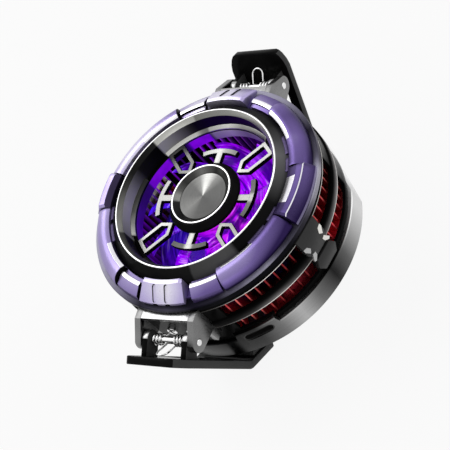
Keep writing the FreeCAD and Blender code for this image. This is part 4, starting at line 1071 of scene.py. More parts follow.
class CoolerBase(bpy.types.Operator):
    """Brushed base housing, with its two flats and the hump round the charging slot"""

    bl_idname = "cooler.base"
    bl_label = "Base Housing"

    def execute(self, context):
        flat_distance = base_radius - 1.8
        half_flat = math.degrees(math.acos(flat_distance / base_radius))
        half_port, port_slope = 10.6, 0.9
        opening, floor = 25.3, base_rear + 1.6
        edges = [a + side * half_flat for a in FLAT_ANGLES for side in (-1, 1)]
        edges += [PORT_ANGLE + side * w for side in (-1, 1) for w in (half_port, half_port - port_slope)]
        rows = []
        for angle in around(edges):
            outer = base_radius
            for flat in FLAT_ANGLES:
                if abs(angle - flat) < half_flat:
                    outer = flat_distance / math.cos(math.radians(angle - flat))
            away = abs(angle - PORT_ANGLE)
            rise = min(1.0, max(0.0, (half_port - away) / port_slope))
            top = base_top + (port_front - base_top) * rise
            rows.append(swung([
                (opening, base_rear), (outer - 0.6, base_rear), (outer, base_rear + 0.6), (outer, top - 0.25),
                (outer - 0.25, top), (base_inner_radius, top), (base_inner_radius, floor), (opening, floor),
            ], angle))
        obj = new_object("base_shell", Solid().skin(rows, closed=True), ["gunmetal"])
        recess_radius = 1.85
        recesses = Solid()
        for i in range(SCREW_COUNT):
            bore = Solid().dome([(0, 0), (recess_radius, 0), (recess_radius, screw_seat), (0, screw_seat)])
            turn = spin(FULL_TURN / SCREW_COUNT * i)
            recesses.take(bore.moved(turn @ Matrix.Translation((screw_circle, 0, 0))))
        combine(obj, recesses, "DIFFERENCE")
        level = (low("port_shell").z + high("port_shell").z) / 2
        foot, depth = 31.0, 8.0
        outline = turned_points(self.slot_outline(foot, 4.47, 1.47, level), PORT_ANGLE)
        combine(obj, Solid().prism(outline, spin(PORT_ANGLE) @ Vector((depth, 0, 0))), "DIFFERENCE")
        dress(obj, "frame", "gunmetal", "base_housing", "port_housing", angle=15)
        return {"FINISHED"}

    @staticmethod
    def slot_outline(x, half_width, half_height, level):
        ends = arc((half_width - half_height, level), half_height, -90, 90, 10)
        ends += arc((half_height - half_width, level), half_height, 90, 270, 10)
        return [(x, t, z) for t, z in ends]


class CoolerCage(bpy.types.Operator):
    """Black cage with its two rows of windows, its rib and bright lines in front of the windows, painted as
    the highlights of the window edges
    """

    bl_idname = "cooler.cage"
    bl_label = "Cage"

    def execute(self, context):
        trim = size("trim")
        rear_low = base_top + 1.6
        port_low = port_front + 0.5
        rib, rib_foot = cage_radius + 0.5, rib_rear + 0.3
        line, line_foot = cage_radius + 0.12, window_front + 0.06
        profile = [
            (cage_radius, base_top), (cage_radius, rear_low), (cage_radius, port_front),
            (cage_radius, port_low), (cage_radius, rib_rear), (rib - 0.05, rib_foot - 0.05), (rib, rib_foot),
            (rib, rib_foot + trim), (rib, window_low - 0.2), (cage_radius, window_low),
            (cage_radius, window_front), (line, line_foot), (line, line_foot + trim),
            (cage_radius, line_foot + 0.04 + trim), (cage_radius, cage_top),
        ]
        # The line and rib finishes carry painted highlights: the lines before the windows and at the rib's
        # foot, and the rib's rear edge
        indices = [0, 0, 0, 0, 2, 1, 1, 2, 2, 0, 1, 1, 0, 0]
        half_port = 11.1
        edges = [e for pair in FRONT_WINDOWS + REAR_WINDOWS + (PORT_WINDOW,) for e in pair]
        edges += [PORT_ANGLE - half_port, PORT_ANGLE + half_port]
        angles = around(edges)
        outer = [swung(profile, angle) for angle in angles]
        inner = [swung([(cage_inner_radius, z) for r, z in profile], angle) for angle in angles]
        stations = angles + [START_ANGLE + FULL_TURN]

        def is_open(i, j):
            angle = (stations[i] + stations[i + 1]) / 2
            level = (profile[j][1] + profile[j + 1][1]) / 2
            if abs(angle - PORT_ANGLE) < half_port and level < port_front:
                return True
            if window_low < level < window_front:
                return inside(angle, FRONT_WINDOWS)
            if rear_low < level < rib_rear:
                return inside(angle, REAR_WINDOWS) or (inside(angle, (PORT_WINDOW,)) and level > port_low)
            return False

        wall = Solid().windowed_wall(outer, inner, is_open, True, indices)
        wall = new_object("cage_wall", wall, ["black_gloss", "line", "rib"])
        dress(wall, "frame", "black_gloss", "cage", edge=0.06)
        return {"FINISHED"}


class CoolerPillars(bpy.types.Operator):
    """Satin plates over the cage's posts, with pale facets of painted highlight at their inner corners,
    duller as painted shade on one side
    """

    bl_idname = "cooler.pillars"
    bl_label = "Pillars"

    def execute(self, context):
        inner = cage_radius - 0.4
        top = skirt_rear - 0.1
        shoulder = rib_rear + 3.0
        half, foot, side = 4.2, 2.6, 2.8
        pillar = [(-half, top), (half, top), (half, shoulder), (foot, rib_rear), (-foot, rib_rear),
                  (-half, shoulder)]
        hex_low = base_top + 1.2
        hex_high = rib_rear - 0.8
        middle = (hex_low + hex_high) / 2
        plate = [(-half, middle), (-side, hex_high), (side, hex_high), (half, middle), (side, hex_low),
                 (-side, hex_low)]
        pillars, plates, facets = Solid(), Solid(), Solid()
        for angle in PILLAR_ANGLES:
            out = spin(angle) @ Vector((1, 0, 0))
            for solid, outline, proud in ((pillars, pillar, 0.85), (plates, plate, 1.05)):
                points = [(inner, t, z) for t, z in outline]
                solid.prism(turned_points(points, angle), out * (cage_radius + proud - inner))
            for outline, proud in ((self.foot_facet(shoulder), 1.0), (self.hex_facet(middle, hex_high), 1.2)):
                for mirror in (-1, 1):
                    points = [(inner, mirror * t, z) for t, z in outline]
                    facets.prism(turned_points(points, angle), out * (cage_radius + proud - inner))
        pillars = new_object("pillar_plates", pillars, ["dark_satin"])
        dress(pillars, "frame", "dark_satin", "cage_pillars", edge=0.2)
        plates = new_object("hex_covers", plates, ["dark_satin"])
        dress(plates, "frame", "dark_satin", "hex_plates", edge=0.2)
        facets = new_object("corner_facets", facets, ["trim", "lip"])
        # Facets on the shaded side take the duller grey: painted shade
        face_finish(facets, 1, lambda p: inside(place_of(p)[0], SHADED_FACETS))
        dress(facets, "frame", "dark_satin", edge=0.12)
        return {"FINISHED"}

    @staticmethod
    def foot_facet(shoulder):
        """Facet of painted highlight at a pillar's foot."""
        level = shoulder + 1.9
        return [(4.2, level + 1.1), (4.2, level), (3.1, rib_rear + 2.8), (2.2, level - 0.9),
                (2.9, level + 0.7)]

    @staticmethod
    def hex_facet(middle, top):
        """Facet of painted highlight over a corner of a six-sided plate."""
        rise = 3.2
        return [(4.0, middle + rise + 0.2), (2.9, top + rise - 0.1), (1.9, top + rise - 0.4),
                (2.1, top + rise - 1.6), (3.3, middle + rise - 0.3)]


class CoolerFins(bpy.types.Operator):
    """Ring of thin radial fins on the heatsink's plate"""

    bl_idname = "cooler.fins"
    bl_label = "Fins"

    def execute(self, context):
        half = size("fin_thickness") / 2
        outline = [(fin_inner_radius, -half, fin_rear), (fin_outer_radius, -half, fin_rear),
                   (fin_outer_radius, -half, fin_front - 0.5), (fin_outer_radius - 0.5, -half, fin_front),
                   (fin_inner_radius, -half, fin_front)]
        count = bpy.context.scene.cooler_sizes.fin_count
        fins = repeated("fins", Solid().prism(outline, (0, 2 * half, 0)), count, 0, "red_aluminium", 0.07)
        floor_top = fin_rear + 0.6
        floor = Solid().lathe([(fin_inner_radius, fin_rear), (fin_outer_radius, fin_rear),
                               (fin_outer_radius, floor_top), (fin_inner_radius, floor_top)])
        dress(fins, "frame", "red_aluminium", "fin_ring", edge=0)
        dress(new_object("fin_floor", floor, ["red_aluminium"]), "frame", "red_aluminium")
        return {"FINISHED"}


class CoolerRing(bpy.types.Operator):
    """Purple front ring: rounded and flat arcs, side blocks, slotted blocks and the flange behind them"""

    bl_idname = "cooler.ring"
    bl_label = "Front Ring"

    def execute(self, context):
        gap = math.degrees(size("seam") / 2 / ring_radius)
        self.arcs(gap)
        self.side_blocks(gap)
        self.slotted_blocks(gap)
        self.flange()
        return {"FINISHED"}

    def arcs(self, gap):
        inner, lip = ring_inner_radius, ring_lip_radius
        core_radius = ring_radius - 1.6
        core = [(inner, flange_front), (core_radius, flange_front), (core_radius, ring_seat),
                (inner, ring_seat)]
        rounded = [(ring_radius, flange_front)]
        rounded += through((ring_radius, flange_front + 0.5), (ring_radius - 1.2, ring_front - 1.0),
                           (ring_radius - 3.5, ring_front), 12)
        rounded += [(lip, ring_front), (inner, ring_front - 0.4), (inner, flange_front)]
        crest = ring_front - 1.0
        flat = [(ring_radius, flange_front), (ring_radius - 0.5, crest - 1.5), (lip + 1.25, crest - 0.1),
                (lip + 1.1, crest), (lip, crest), (lip, crest - 0.8), (inner, crest - 0.8),
                (inner, flange_front)]
        arcs = Solid().lathe(core)
        for start, end in ROUNDED_ARCS:
            arcs.lathe(rounded, start + gap, end - gap)
        for start, end in FLAT_ARCS:
            # The flat arc's inner chamfer takes a painted highlight and the step inside it black as painted
            # shade
            arcs.lathe(flat, start + gap, end - gap, [0, 0, 1, 1, 3, 0, 0, 0])
        ring = new_object("ring_arcs", arcs, ["purple", "ring_edge", "deep_purple", "black_gloss"])
        face_finish(ring, 2, self.on_flat_foot)
        face_finish(ring, 3, self.on_black_end)
        face_finish(ring, 1, self.on_bright_lip)
        dress(ring, "frame", "purple", "front_ring", edge=0.12, angle=25)

    def side_blocks(self, gap):
        inner = ring_inner_radius
        blocks = Solid()
        # Outer radius and depth of the inner slope, first of the right block and then of the left one
        shapes = (side_block_radius, 3.0), (ring_radius + 0.1, 1.5)
        for (start, end), (outer, slope) in zip(SIDE_BLOCKS, shapes):
            outline = [(outer, ring_seat), (outer, ring_seat + 0.95), (outer - 1.95, block_front - 0.15),
                       (outer - 2.25, block_front), (inner + slope, block_front), (inner, block_front - 1.1),
                       (inner, ring_seat)]
            # The block's foot, outer slope, front edge and front take lit and shaded copies of the purple,
            # with a painted highlight on the edge
            blocks.take(self.block(outline, start + gap, end - gap, [3, 0, 1, 4, 0, 0, 0]))
        blocks = new_object("side_crests", blocks,
                            ["deep_purple", "ring_edge", "lavender", "flank", "crest", "bar", "purple"])
        face_finish(blocks, 1, self.on_lit_facet)
        face_finish(blocks, 2, self.on_end_facet)
        face_finish(blocks, 5, self.on_shaded_slope)
        face_finish(blocks, 6, self.on_lit_slope)
        dress(blocks, "frame", "deep_purple", "side_blocks", angle=25)

    def slotted_blocks(self, gap):
        plates = Solid()
        inner, outer = ring_inner_radius, slotted_block_radius
        crest, foot_level = inner + 1.2, ring_seat + 0.95
        outline = [(outer, ring_seat), (outer, foot_level), (crest, block_front), (inner, block_front),
                   (inner, ring_seat)]
        for start, end in SLOTTED_BLOCKS:
            plates.take(self.block(outline, start + gap, end - gap))
        plates = new_object("slotted_crests", plates, ["lavender", "black_gloss"])
        fall = (block_front - foot_level) / (outer - crest)
        slots = Solid()
        half, pitch = size("slot_width") / 2, size("slot_pitch")
        near, far = inner + 1.95, outer - 0.9
        depth = 0.5
        for start, end in SLOTTED_BLOCKS:
            for side in (-1, 1):
                middle = side * pitch / 2
                points = arc((far, middle), half, -90, 90, 8) + arc((near, middle), half, 90, 270, 8)
                foot = [(x, y, block_front - fall * (x - crest) - depth) for x, y in points]
                slots.prism(turned_points(foot, (start + end) / 2), (0, 0, 3.5))
        combine(plates, slots, "DIFFERENCE")
        face_finish(plates, 1, lambda p: self.in_slot(p, near, far))
        dress(plates, "frame", "lavender", "slotted_blocks", angle=25)

    @staticmethod
    def flange():
        inner, outer = ring_inner_radius, flange_radius
        bore = cage_radius + 0.02
        skirt = [(bore, skirt_rear), (outer - 0.15, skirt_rear), (outer, skirt_rear + 0.15),
                 (outer, flange_front - 0.25), (outer - 0.25, flange_front), (inner, flange_front),
                 (inner, cage_top), (bore, cage_top)]
        plate = [(inner, cage_top)] + skirt[3:6]
        plate.insert(1, (outer, cage_top))
        room = math.degrees(math.asin((bracket_half_width + 0.3) / outer))
        flange = Solid()
        for middle in (0, 180):
            flange.lathe(skirt, middle - 90 + room, middle + 90 - room)
        for middle in (90, 270):
            flange.lathe(plate, middle - room, middle + room)
        flange = new_object("flange", flange, ["flange", "flange_face"])
        # The front faces and the sides take separate painted light about the axis
        face_finish(flange, 1, lambda p: p.normal.z > 0.5)
        dress(flange, "frame", "lavender", "ring_flange", edge=0)

    @staticmethod
    def on_black_end(polygon):
        """End of an arc that the piece beside it leaves in the dark, painted black as shade."""
        return on_end(polygon) and not inside(place_of(polygon)[0], LIT_ENDS)

    @staticmethod
    def on_flat_foot(polygon):
        """Foot of a flat arc, given the darker deep purple as painted shade."""
        angle, radius = place_of(polygon)[:2]
        return inside(angle, FLAT_ARCS) and radius > ring_radius - 0.7

    @staticmethod
    def on_bright_lip(polygon):
        """Lip inside a rounded arc, on its half away from the side block, given a painted highlight."""
        angle, radius, level = place_of(polygon)
        return inside(angle, BRIGHT_LIPS) and radius < ring_lip_radius and level > ring_front - 0.45

    @staticmethod
    def on_lit_facet(polygon):
        """Middle of a side block's inner slope, given a painted highlight."""
        angle, radius, level = place_of(polygon)
        return inside(angle, LIT_FACETS) and radius < ring_inner_radius + 3.0 and level > block_front - 1.2

    @staticmethod
    def on_shaded_slope(polygon):
        """Inner slope of the left side block, given the dark bar finish as painted shade."""
        radius = place_of(polygon)[1]
        return polygon.center.x < 0 and radius < ring_inner_radius + 1.4

    @staticmethod
    def on_lit_slope(polygon):
        """Outer slope and front of the left side block, given the lit purple finish as painted light."""
        radius = place_of(polygon)[1]
        return polygon.center.x < 0 and radius > ring_inner_radius + 1.4 and not on_end(polygon)

    @staticmethod
    def on_end_facet(polygon):
        """Sloping end of the right side block, given the paler lavender as painted light."""
        angle, radius = place_of(polygon)[:2]
        half = FULL_TURN / 2
        near = min(abs((angle - end + half) % FULL_TURN - half) for end in SIDE_BLOCKS[0])
        return near < 0.9 and radius > side_block_radius - 2.3 and polygon.normal.z > 0.1

    @staticmethod
    def in_slot(polygon, near, far):
        """Wall of a slot in a pale block, painted black as shade."""
        centre = polygon.center / MM
        return (abs(polygon.normal.z) < 0.3 and abs(centre.x) < 2.8 and near - 1 < abs(centre.y) < far + 1
                and centre.z > flange_front + 1.2 and abs(centre.x) > 1.1)

    @staticmethod
    def block(outline, start, end, indices=None):
        """A block turned about the axis, with its front edge cut back at both ends."""
        top = max(z for r, z in outline)
        foot = min(z for r, z in outline) + 0.4
        count = round((end - start) / ARC_STEP)
        slope, drop = 1.2, 0.6
        angles = [start + slope + (end - start - 2 * slope) * i / count for i in range(count + 1)]
        cut = [(r, max(min(z, top - drop), foot) if z > foot else z) for r, z in outline]
        rows = [swung(cut, start)] + [swung(outline, angle) for angle in angles] + [swung(cut, end)]
        return Solid().skin(rows, indices=indices)


class CoolerFunnel(bpy.types.Operator):
    """Dark intake funnel with its bright rim, collar bars and throat plates"""

    bl_idname = "cooler.funnel"
    bl_label = "Intake Funnel"

    def execute(self, context):
        collar = ring_inner_radius - 0.3
        rim = collar - 3.2
        wall = rim - 1.1
        throat = wall - 1.2
        bevel_low = rim_level - 1.4
        shoulder = rim_level - 1.5
        flange_outer = cage_inner_radius - 0.3
        outer_throat = throat + 0.9
        throat_end = throat_rear - 1.6
        plate_rear = cage_top - 1.1
        outline = [
            (throat, throat_end), (throat + 0.5, throat_end), (outer_throat, throat_rear),
            (outer_throat, plate_rear), (flange_outer, plate_rear), (flange_outer, cage_top),
            (collar, cage_top), (collar, rim_level - 3.35), (collar - 1.2, shoulder),
            (rim + 0.4, rim_level - 0.18), (rim + 0.25, rim_level), (rim + 0.05, rim_level),
            (rim - 0.06, rim_level - 0.08), (wall, bevel_low), (wall, guard_seat), (throat, guard_seat),
        ]
        indices = [4, 0, 0, 0, 0, 0, 0, 0, 0, 1, 1, 1, 2, 3, 0, 4]
        funnel = new_object("funnel", Solid().lathe(outline, indices=indices),
                            ["funnel_cone", "bright_steel", "funnel_bevel", "funnel_wall", "throat_glow"])
        dress(funnel, "frame", "dark_metal", "intake_funnel", edge=0.04, angle=20)

        bars = Solid()
        top = shoulder - 0.5
        low_level = cage_top + 1.0
        bore = ring_inner_radius - 1.2
        outer = ring_inner_radius - 0.05
        for start, end in COLLAR_BARS:
            bars.lathe([(collar + 0.02, low_level), (outer, low_level), (outer, top - 0.25),
                        (outer - 0.25, top), (bore, top), (bore, top - 0.3), (collar, rim_level - 3.2)],
                       start, end)
        dress(new_object("step_bars", bars, ["bar"]), "frame", "deep_purple", "collar_bars")

        plates = Solid()
        back, face = wall - 0.02, throat + 0.2
        foot, top = guard_seat + 0.05, guard_seat + 1.3
        for start, end in THROAT_PLATES:
            plates.lathe([(back, foot), (back, top), (back - 0.13, top), (face, foot + 0.45), (face, foot)],
                         start, end)
        plates = new_object("throat_lips", plates, ["throat_lip"])
        dress(plates, "frame", "satin_grey", "throat_bevels", edge=0.08)
        return {"FINISHED"}


class CoolerGuard(bpy.types.Operator):
    """Guard over the fan: four fingers, four pointed frames, the hub, its bright rim and its spun disc"""

    bl_idname = "cooler.guard"
    bl_label = "Guard"

    def execute(self, context):
        rear, front = guard_seat - 0.9, guard_seat + 0.5
        hub_radius, hub_bore = 10.8, 8.4
        quarters = 4
        fingers = Solid()
        root, end, half = hub_radius - 0.6, 14.6, 1.0
        stem = [(root, -half), (end, -half), (end, half), (root, half)]
        fingers.prism(flat_points(stem, rear), (0, 0, front - rear))
        reach = 22
        bar = arc((0, 0), 14.2, -reach, reach, 18) + arc((0, 0), 15.7, reach, -reach, 18)
        fingers.prism(flat_points(bar, rear), (0, 0, front - rear - 0.02))
        fingers = repeated("fingers", fingers, quarters, 0, "black_gloss", 0.1)

        reach = guard_radius - 1.2
        bar = size("bar_width")
        outlines = self.frame_outline(0.0, reach), self.frame_outline(bar, reach - bar)
        lower, upper = [[flat_points(pair, level) for pair in zip(*outlines)] for level in (rear, front)]
        frames = Solid().windowed_wall(upper, lower, lambda i, j: False, True)
        frames = repeated("frames", frames, quarters, 45, "black_gloss", 0.1)
        # The tops of fingers and frames take the guard face, with its light and shade painted about the axis
        for obj in (fingers, frames):
            obj.data.materials.append(finishes["guard_face"])
            face_finish(obj, 1, lambda p: p.normal.z > 0.9)
            dress(obj, "frame", "satin_grey", edge=0)

        rim = Solid().lathe([(guard_radius - 0.6, rear + 0.4), (guard_radius - 0.5, guard_seat),
                             (guard_radius, guard_seat), (guard_radius, guard_seat + 0.2),
                             (guard_radius - 0.6, guard_seat + 0.2)])
        dress(new_object("guard_rim", rim, ["black_gloss"]), "frame", "satin_grey")

        floor = hub_front - 1.3
        hub = Solid().dome([
            (0, guard_seat), (hub_radius, guard_seat), (hub_radius, guard_seat + 0.9),
            (hub_radius - 0.3, guard_seat + 1.2), (hub_radius - 1.1, hub_front - 0.2),
            (hub_radius - 1.3, hub_front), (hub_bore, hub_front), (hub_bore, floor), (0, floor)], step=2.0)
        hub = new_object("hub_cup", hub, ["dark_metal"])
        dress(hub, "frame", "satin_grey", "guard_grille", edge=0.05, angle=20)

        seat, wall = hub_disc_radius + 0.05, hub_bore - 0.05
        crest = hub_rim_front - 0.1
        rim = Solid().lathe([
            (seat, floor), (wall, floor), (wall, hub_front), (hub_rim_radius, hub_front),
            (hub_rim_radius, crest), (hub_rim_radius - 0.1, hub_rim_front),
            (hub_rim_radius - 0.4, hub_rim_front), (hub_rim_radius - 0.5, crest), (seat, floor + 0.42)],
            indices=[1, 1, 1, 0, 0, 0, 0, 1, 1], step=2.0)
        rim = new_object("hub_band", rim, ["bright_steel", "hub_slope"])
        dress(rim, "frame", "bright_steel", "hub_rim", edge=0.03, angle=20)

        edge, face, chamfer = hub_disc_radius, hub_disc_front, 0.12
        disc = Solid().dome([(0, floor), (edge, floor), (edge, face - chamfer), (edge - chamfer, face),
                             (0, face)], step=2.0)
        dress(new_object("hub_face", disc, ["spun_disc"]), "frame", "spun_disc", "hub_disc", edge=0)
        return {"FINISHED"}

    @staticmethod
    def frame_outline(inset, reach):
        """A frame's pointed outline, moved inwards by an inset."""
        half = 2.75 - inset
        tip = 10.9 + inset * math.sqrt(2)
        return [(reach, -half), (tip + half, -half), (tip, 0), (tip + half, half), (reach, half)]


class CoolerFan(bpy.types.Operator):
    """Fan: its cup and its curved blades"""

    bl_idname = "cooler.fan"
    bl_label = "Fan"

    def execute(self, context):
        count = bpy.context.scene.cooler_sizes.blade_count
        skew = bpy.context.scene.cooler_sizes.blade_skew
        low_edge, high_edge = fan_rear + 1.0, fan_front - 1.0
        half_chord, camber, half_thickness = 4.6, 1.3, 0.28
        rings, cells = 8, 10
        root = fan_hub_radius - 0.5
        middle = (low_edge + high_edge) / 2 + camber
        line = through((-half_chord, low_edge), (-camber, middle), (half_chord, high_edge), cells)
        rows = []
        for ring in range(rings + 1):
            share = ring / rings
            radius = root + (fan_radius - root) * share
            upper, lower = [], []
            for k, (across, level) in enumerate(line):
                thick = half_thickness * math.sqrt(math.sin(math.pi * (k + 0.3) / (cells + 0.6)))
                for offset, points in ((thick, upper), (-thick, lower)):
                    angle = math.asin((across - offset) / radius) + skew * share * share
                    points.append((radius * math.cos(angle), radius * math.sin(angle), level + offset))
            rows.append(upper + lower[::-1])
        blades = repeated("blades", Solid().skin(rows), count, 0, "violet_plastic", 0)
        dress(blades, "fan", "violet_plastic", "impeller", edge=0, angle=50)

        bore, boss, cup = 0.92, 1.9, 8.5
        boss_end, ceiling = fan_front - 3.1, fan_front - 0.9
        hub = Solid().lathe([
            (bore, fan_front), (bore, boss_end), (boss, boss_end), (boss, ceiling), (cup, ceiling),
            (cup, fan_rear), (fan_hub_radius, fan_rear), (fan_hub_radius, fan_front - 0.8),
            (fan_hub_radius - 0.25, fan_front - 0.25), (fan_hub_radius - 0.8, fan_front)], step=3.0)
        hub = new_object("fan_cup", hub, ["violet_plastic"])
        dress(hub, "fan", "violet_plastic", "impeller", edge=0, angle=40)
        return {"FINISHED"}


class CoolerClamps(bpy.types.Operator):
    """The two clamps: brackets, rivets, pins, springs, levers and jaw pads"""

    bl_idname = "cooler.clamps"
    bl_label = "Clamps"

    def execute(self, context):
        for side, turn in (("upper", 0), ("lower", 180)):
            body = side + "_clamp"
            plate, others = self.bracket(turn)
            bracket = new_object(side + "_bracket_dress", plate, ["satin_steel", "black_gloss", "lip"])
            for other in others:
                combine(bracket, other, "UNION")
            face_finish(bracket, 1, lambda p: self.on_back_plate(p, turn))
            face_finish(bracket, 2, self.on_web)
            dress(bracket, "frame", "satin_steel", side + "_bracket", edge=0.16, angle=30)
            parts = (
                ("rivets", self.rivets(), "frame", "bright_steel", 0.12),
                ("pin", self.pin(), "frame", "bright_steel", 0.12),
                ("lever", self.on_pin(self.lever()), body, "lever_black", 0.25),
                ("jaw_pad", self.on_pin(self.jaw_pad()), body, "jaw_rubber", 0.1),
            )
            for name, solid, owner, finish, edge in parts:
                obj = new_object(side + "_" + name + "_dress", solid.moved(spin(turn)), [finish])
                if name == "lever":
                    for other in ("lever_edge", "lip"):
                        obj.data.materials.append(finishes[other])
                    # The lever's sides take a painted highlight in grey lacquer, and its knuckles one in grey
                    # metal
                    face_finish(obj, 1, lambda p: abs(p.normal.x) > 0.8)
                    face_finish(obj, 2, lambda p: self.on_knuckle(p, turn))
                dress(obj, owner, finish, side + "_" + name, edge=edge, angle=30)
            path = [spin(turn) @ p for p in self.spring_path()]
            wire = Solid().tube(path, size("wire") / 2, 10)
            spring = new_object(side + "_spring_dress", wire, ["bright_steel"])
            smooth(spring, 60)
            start = spin(turn) @ Vector((0, pin_reach, pin_level))
            tip = path[len(path) // 2]
            end = start + (tip - start) * 0.5
            tuple(end * MM)
            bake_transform(spring)
            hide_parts(side + "_spring")
        return {"FINISHED"}

    @staticmethod
    def on_back_plate(polygon, turn):
        """Front of the bracket's back plate, between its ears."""
        centre = spin(-turn) @ (polygon.center / MM)
        return (abs(centre.x) < bracket_half_width - ear_thickness and centre.z < bracket_front - 1.1
                and abs(centre.y - bracket_plate_radius) < 0.1)

    @staticmethod
    def on_web(polygon):
        """Front of the bracket's web, between its ears, given the paler grey as a painted highlight."""
        return polygon.normal.z > 0.9 and abs(polygon.center.x / MM) < bracket_half_width - ear_thickness

    @staticmethod
    def on_knuckle(polygon, turn):
        """Rounded outside of a lever's knuckle, given the paler grey as a painted highlight."""
        centre = spin(-turn) @ (polygon.center / MM)
        return (abs(polygon.normal.x) < 0.5 and abs(centre.x) < 7.4 and centre.y < pin_reach + 3.4
                and centre.z > pin_level - 4.0)

    @staticmethod
    def lean():
        """The closed lever's lean about its pin, in radians."""
        reach = pin_reach - base_radius
        depth = pin_level - base_rear
        offset = lever_offset - lever_thickness - 0.58
        return math.atan2(reach, depth) + math.asin(offset / math.hypot(reach, depth))

    def on_pin(self, solid):
        """Move a shape drawn about the pin, with its plate upright, to the closed lever's place."""
        place = Matrix.Translation((0, pin_reach, pin_level)) @ Matrix.Rotation(-self.lean(), 4, "X")
        return solid.moved(place)

    def rear_length(self):
        """Distance from the pin to the hook's bend, along the lever's plate."""
        lean = self.lean()
        return (pin_level + 5.78 - lever_offset * math.sin(lean)) / math.cos(lean)

    @staticmethod
    def bracket(turn):
        """Back plate on the cage, web along its front edge and an ear at each end for the pin."""
        outer = bracket_plate_radius
        plate = bracket_front - 12.6, bracket_front - 0.1, outer
        web = bracket_front - 1.2, bracket_front - 0.05, outer + 0.8
        plates = []
        for foot, top, reach in (plate, web):
            rows = []
            for i in range(13):
                x = (bracket_half_width - 0.05) * (i / 6 - 1)
                root = math.sqrt((cage_radius + 0.02) ** 2 - x * x)
                rows.append([(x, root, foot), (x, reach, foot), (x, reach, top), (x, root, top)])
            plates.append(Solid().skin(rows))
        root = math.sqrt(cage_radius ** 2 - bracket_half_width ** 2) + 0.1
        ear = [(root, bracket_front), (outer + 0.9, bracket_front)]
        ear += arc((pin_reach, pin_level), 2.8, 40, -72, 12)
        ear += [(root, pin_level - 4.0)]
        for side in (-1, 1):
            points = side_points(ear, side * bracket_half_width)
            plates.append(Solid().prism(points, (-side * ear_thickness, 0, 0)))
        first, *others = [plate.moved(spin(turn)) for plate in plates]
        return first, others

    @staticmethod
    def rivets():
        across, level = 3.2, bracket_front - 8.8
        solid = Solid()
        for side in (-1, 1):
            head = Solid().dome([(0, -1.0), (1.5, -1.0), (1.5, 0.2), (1.2, 0.45), (0.7, 0.58), (0, 0.6)],
                                step=15)
            place = Matrix.Translation((side * across, bracket_plate_radius, level))
            solid.take(head.moved(place @ Matrix.Rotation(math.radians(-90), 4, "X")))
        return solid

    @staticmethod
    def pin():
        half, chamfer = pin_half_length, 0.2
        pin = Solid().dome([(0, -half), (pin_radius - chamfer, -half), (pin_radius, chamfer - half),
                            (pin_radius, half - chamfer), (pin_radius - chamfer, half), (0, half)], step=12)
        place = Matrix.Translation((0, pin_reach, pin_level))
        return pin.moved(place @ Matrix.Rotation(math.radians(90), 4, "Y"))

    def lever_path(self):
        """Outer and inner points of the plate, from its front end round the bend to the hook's end."""
        rear = self.rear_length()
        hook, radius = 12.0, 3.2
        tangent = radius * math.tan(math.radians(HOOK_BEND / 2))
        centre = (lever_offset - radius, tangent - rear)
        levels = [lever_front - drop for drop in (0.0, 0.5, 1.5, 3.2, 5.1)] + [-3.5, 3.0 - rear]
        stations = [((lever_offset, z), (lever_offset - lever_thickness, z)) for z in levels]
        outer = arc(centre, radius, 0, -HOOK_BEND, 5)
        inner = arc(centre, radius - lever_thickness, 0, -HOOK_BEND, 5)
        stations += list(zip(outer, inner))
        b = math.radians(HOOK_BEND)
        ahead = (-math.sin(b), -math.cos(b))
        run = hook - tangent
        stations.append(tuple((y + ahead[0] * run, z + ahead[1] * run) for y, z in (outer[-1], inner[-1])))
        return stations

    def lever(self):
        """Plate with rounded front corners and a window, and two knuckles on its back."""
        stations = self.lever_path()
        half = lever_half_width
        widths = [half - 2.85, half - 1.9, half - 1.15, half - 0.4] + [half] * (len(stations) - 4)
        leg = 2.9
        outer, inner = [], []
        for (out, back), width in zip(stations, widths):
            columns = (-width, -(width - leg), width - leg, width)
            outer.append([(x, *out) for x in columns])
            inner.append([(x, *back) for x in columns])
        solid = Solid().windowed_wall(outer, inner, lambda i, j: i == 5 and j == 1, False)
        root = lever_offset - lever_thickness + 0.8
        knuckle_place, knuckle_width = 7.3, 1.8
        outline = [(root, -2.5)] + arc((0, 0), 2.4, -90, -270, 14) + [(root, 2.5)]
        for side in (-1, 1):
            solid.prism(side_points(outline, side * knuckle_place), (-side * knuckle_width, 0, 0))
        return solid

    def jaw_pad(self):
        """Rubber pad on the hook, with ribs across it."""
        b = math.radians(HOOK_BEND)
        ahead = Vector((0, -math.sin(b), -math.cos(b)))
        inwards = Vector((0, -math.cos(b), math.sin(b)))
        place = Vector((0, lever_offset, -self.rear_length())) + inwards * lever_thickness
        start, end, half_width = 3.2, 11.0, 8.4
        groove, crest = 0.75, 1.2
        count = 7
        pitch = (end - start) / count
        outline = [(start, 0.0), (end, 0.0), (end, groove)]
        for i in range(count):
            right = end - i * pitch
            left = right - pitch
            outline += [(right - 0.18, crest), (left + 0.42, crest), (left + 0.24, groove)]
        outline[-1] = (start, groove)
        points = [place + ahead * s + inwards * t + Vector((-half_width, 0, 0)) for s, t in outline]
        return Solid().prism(points, (2 * half_width, 0, 0))

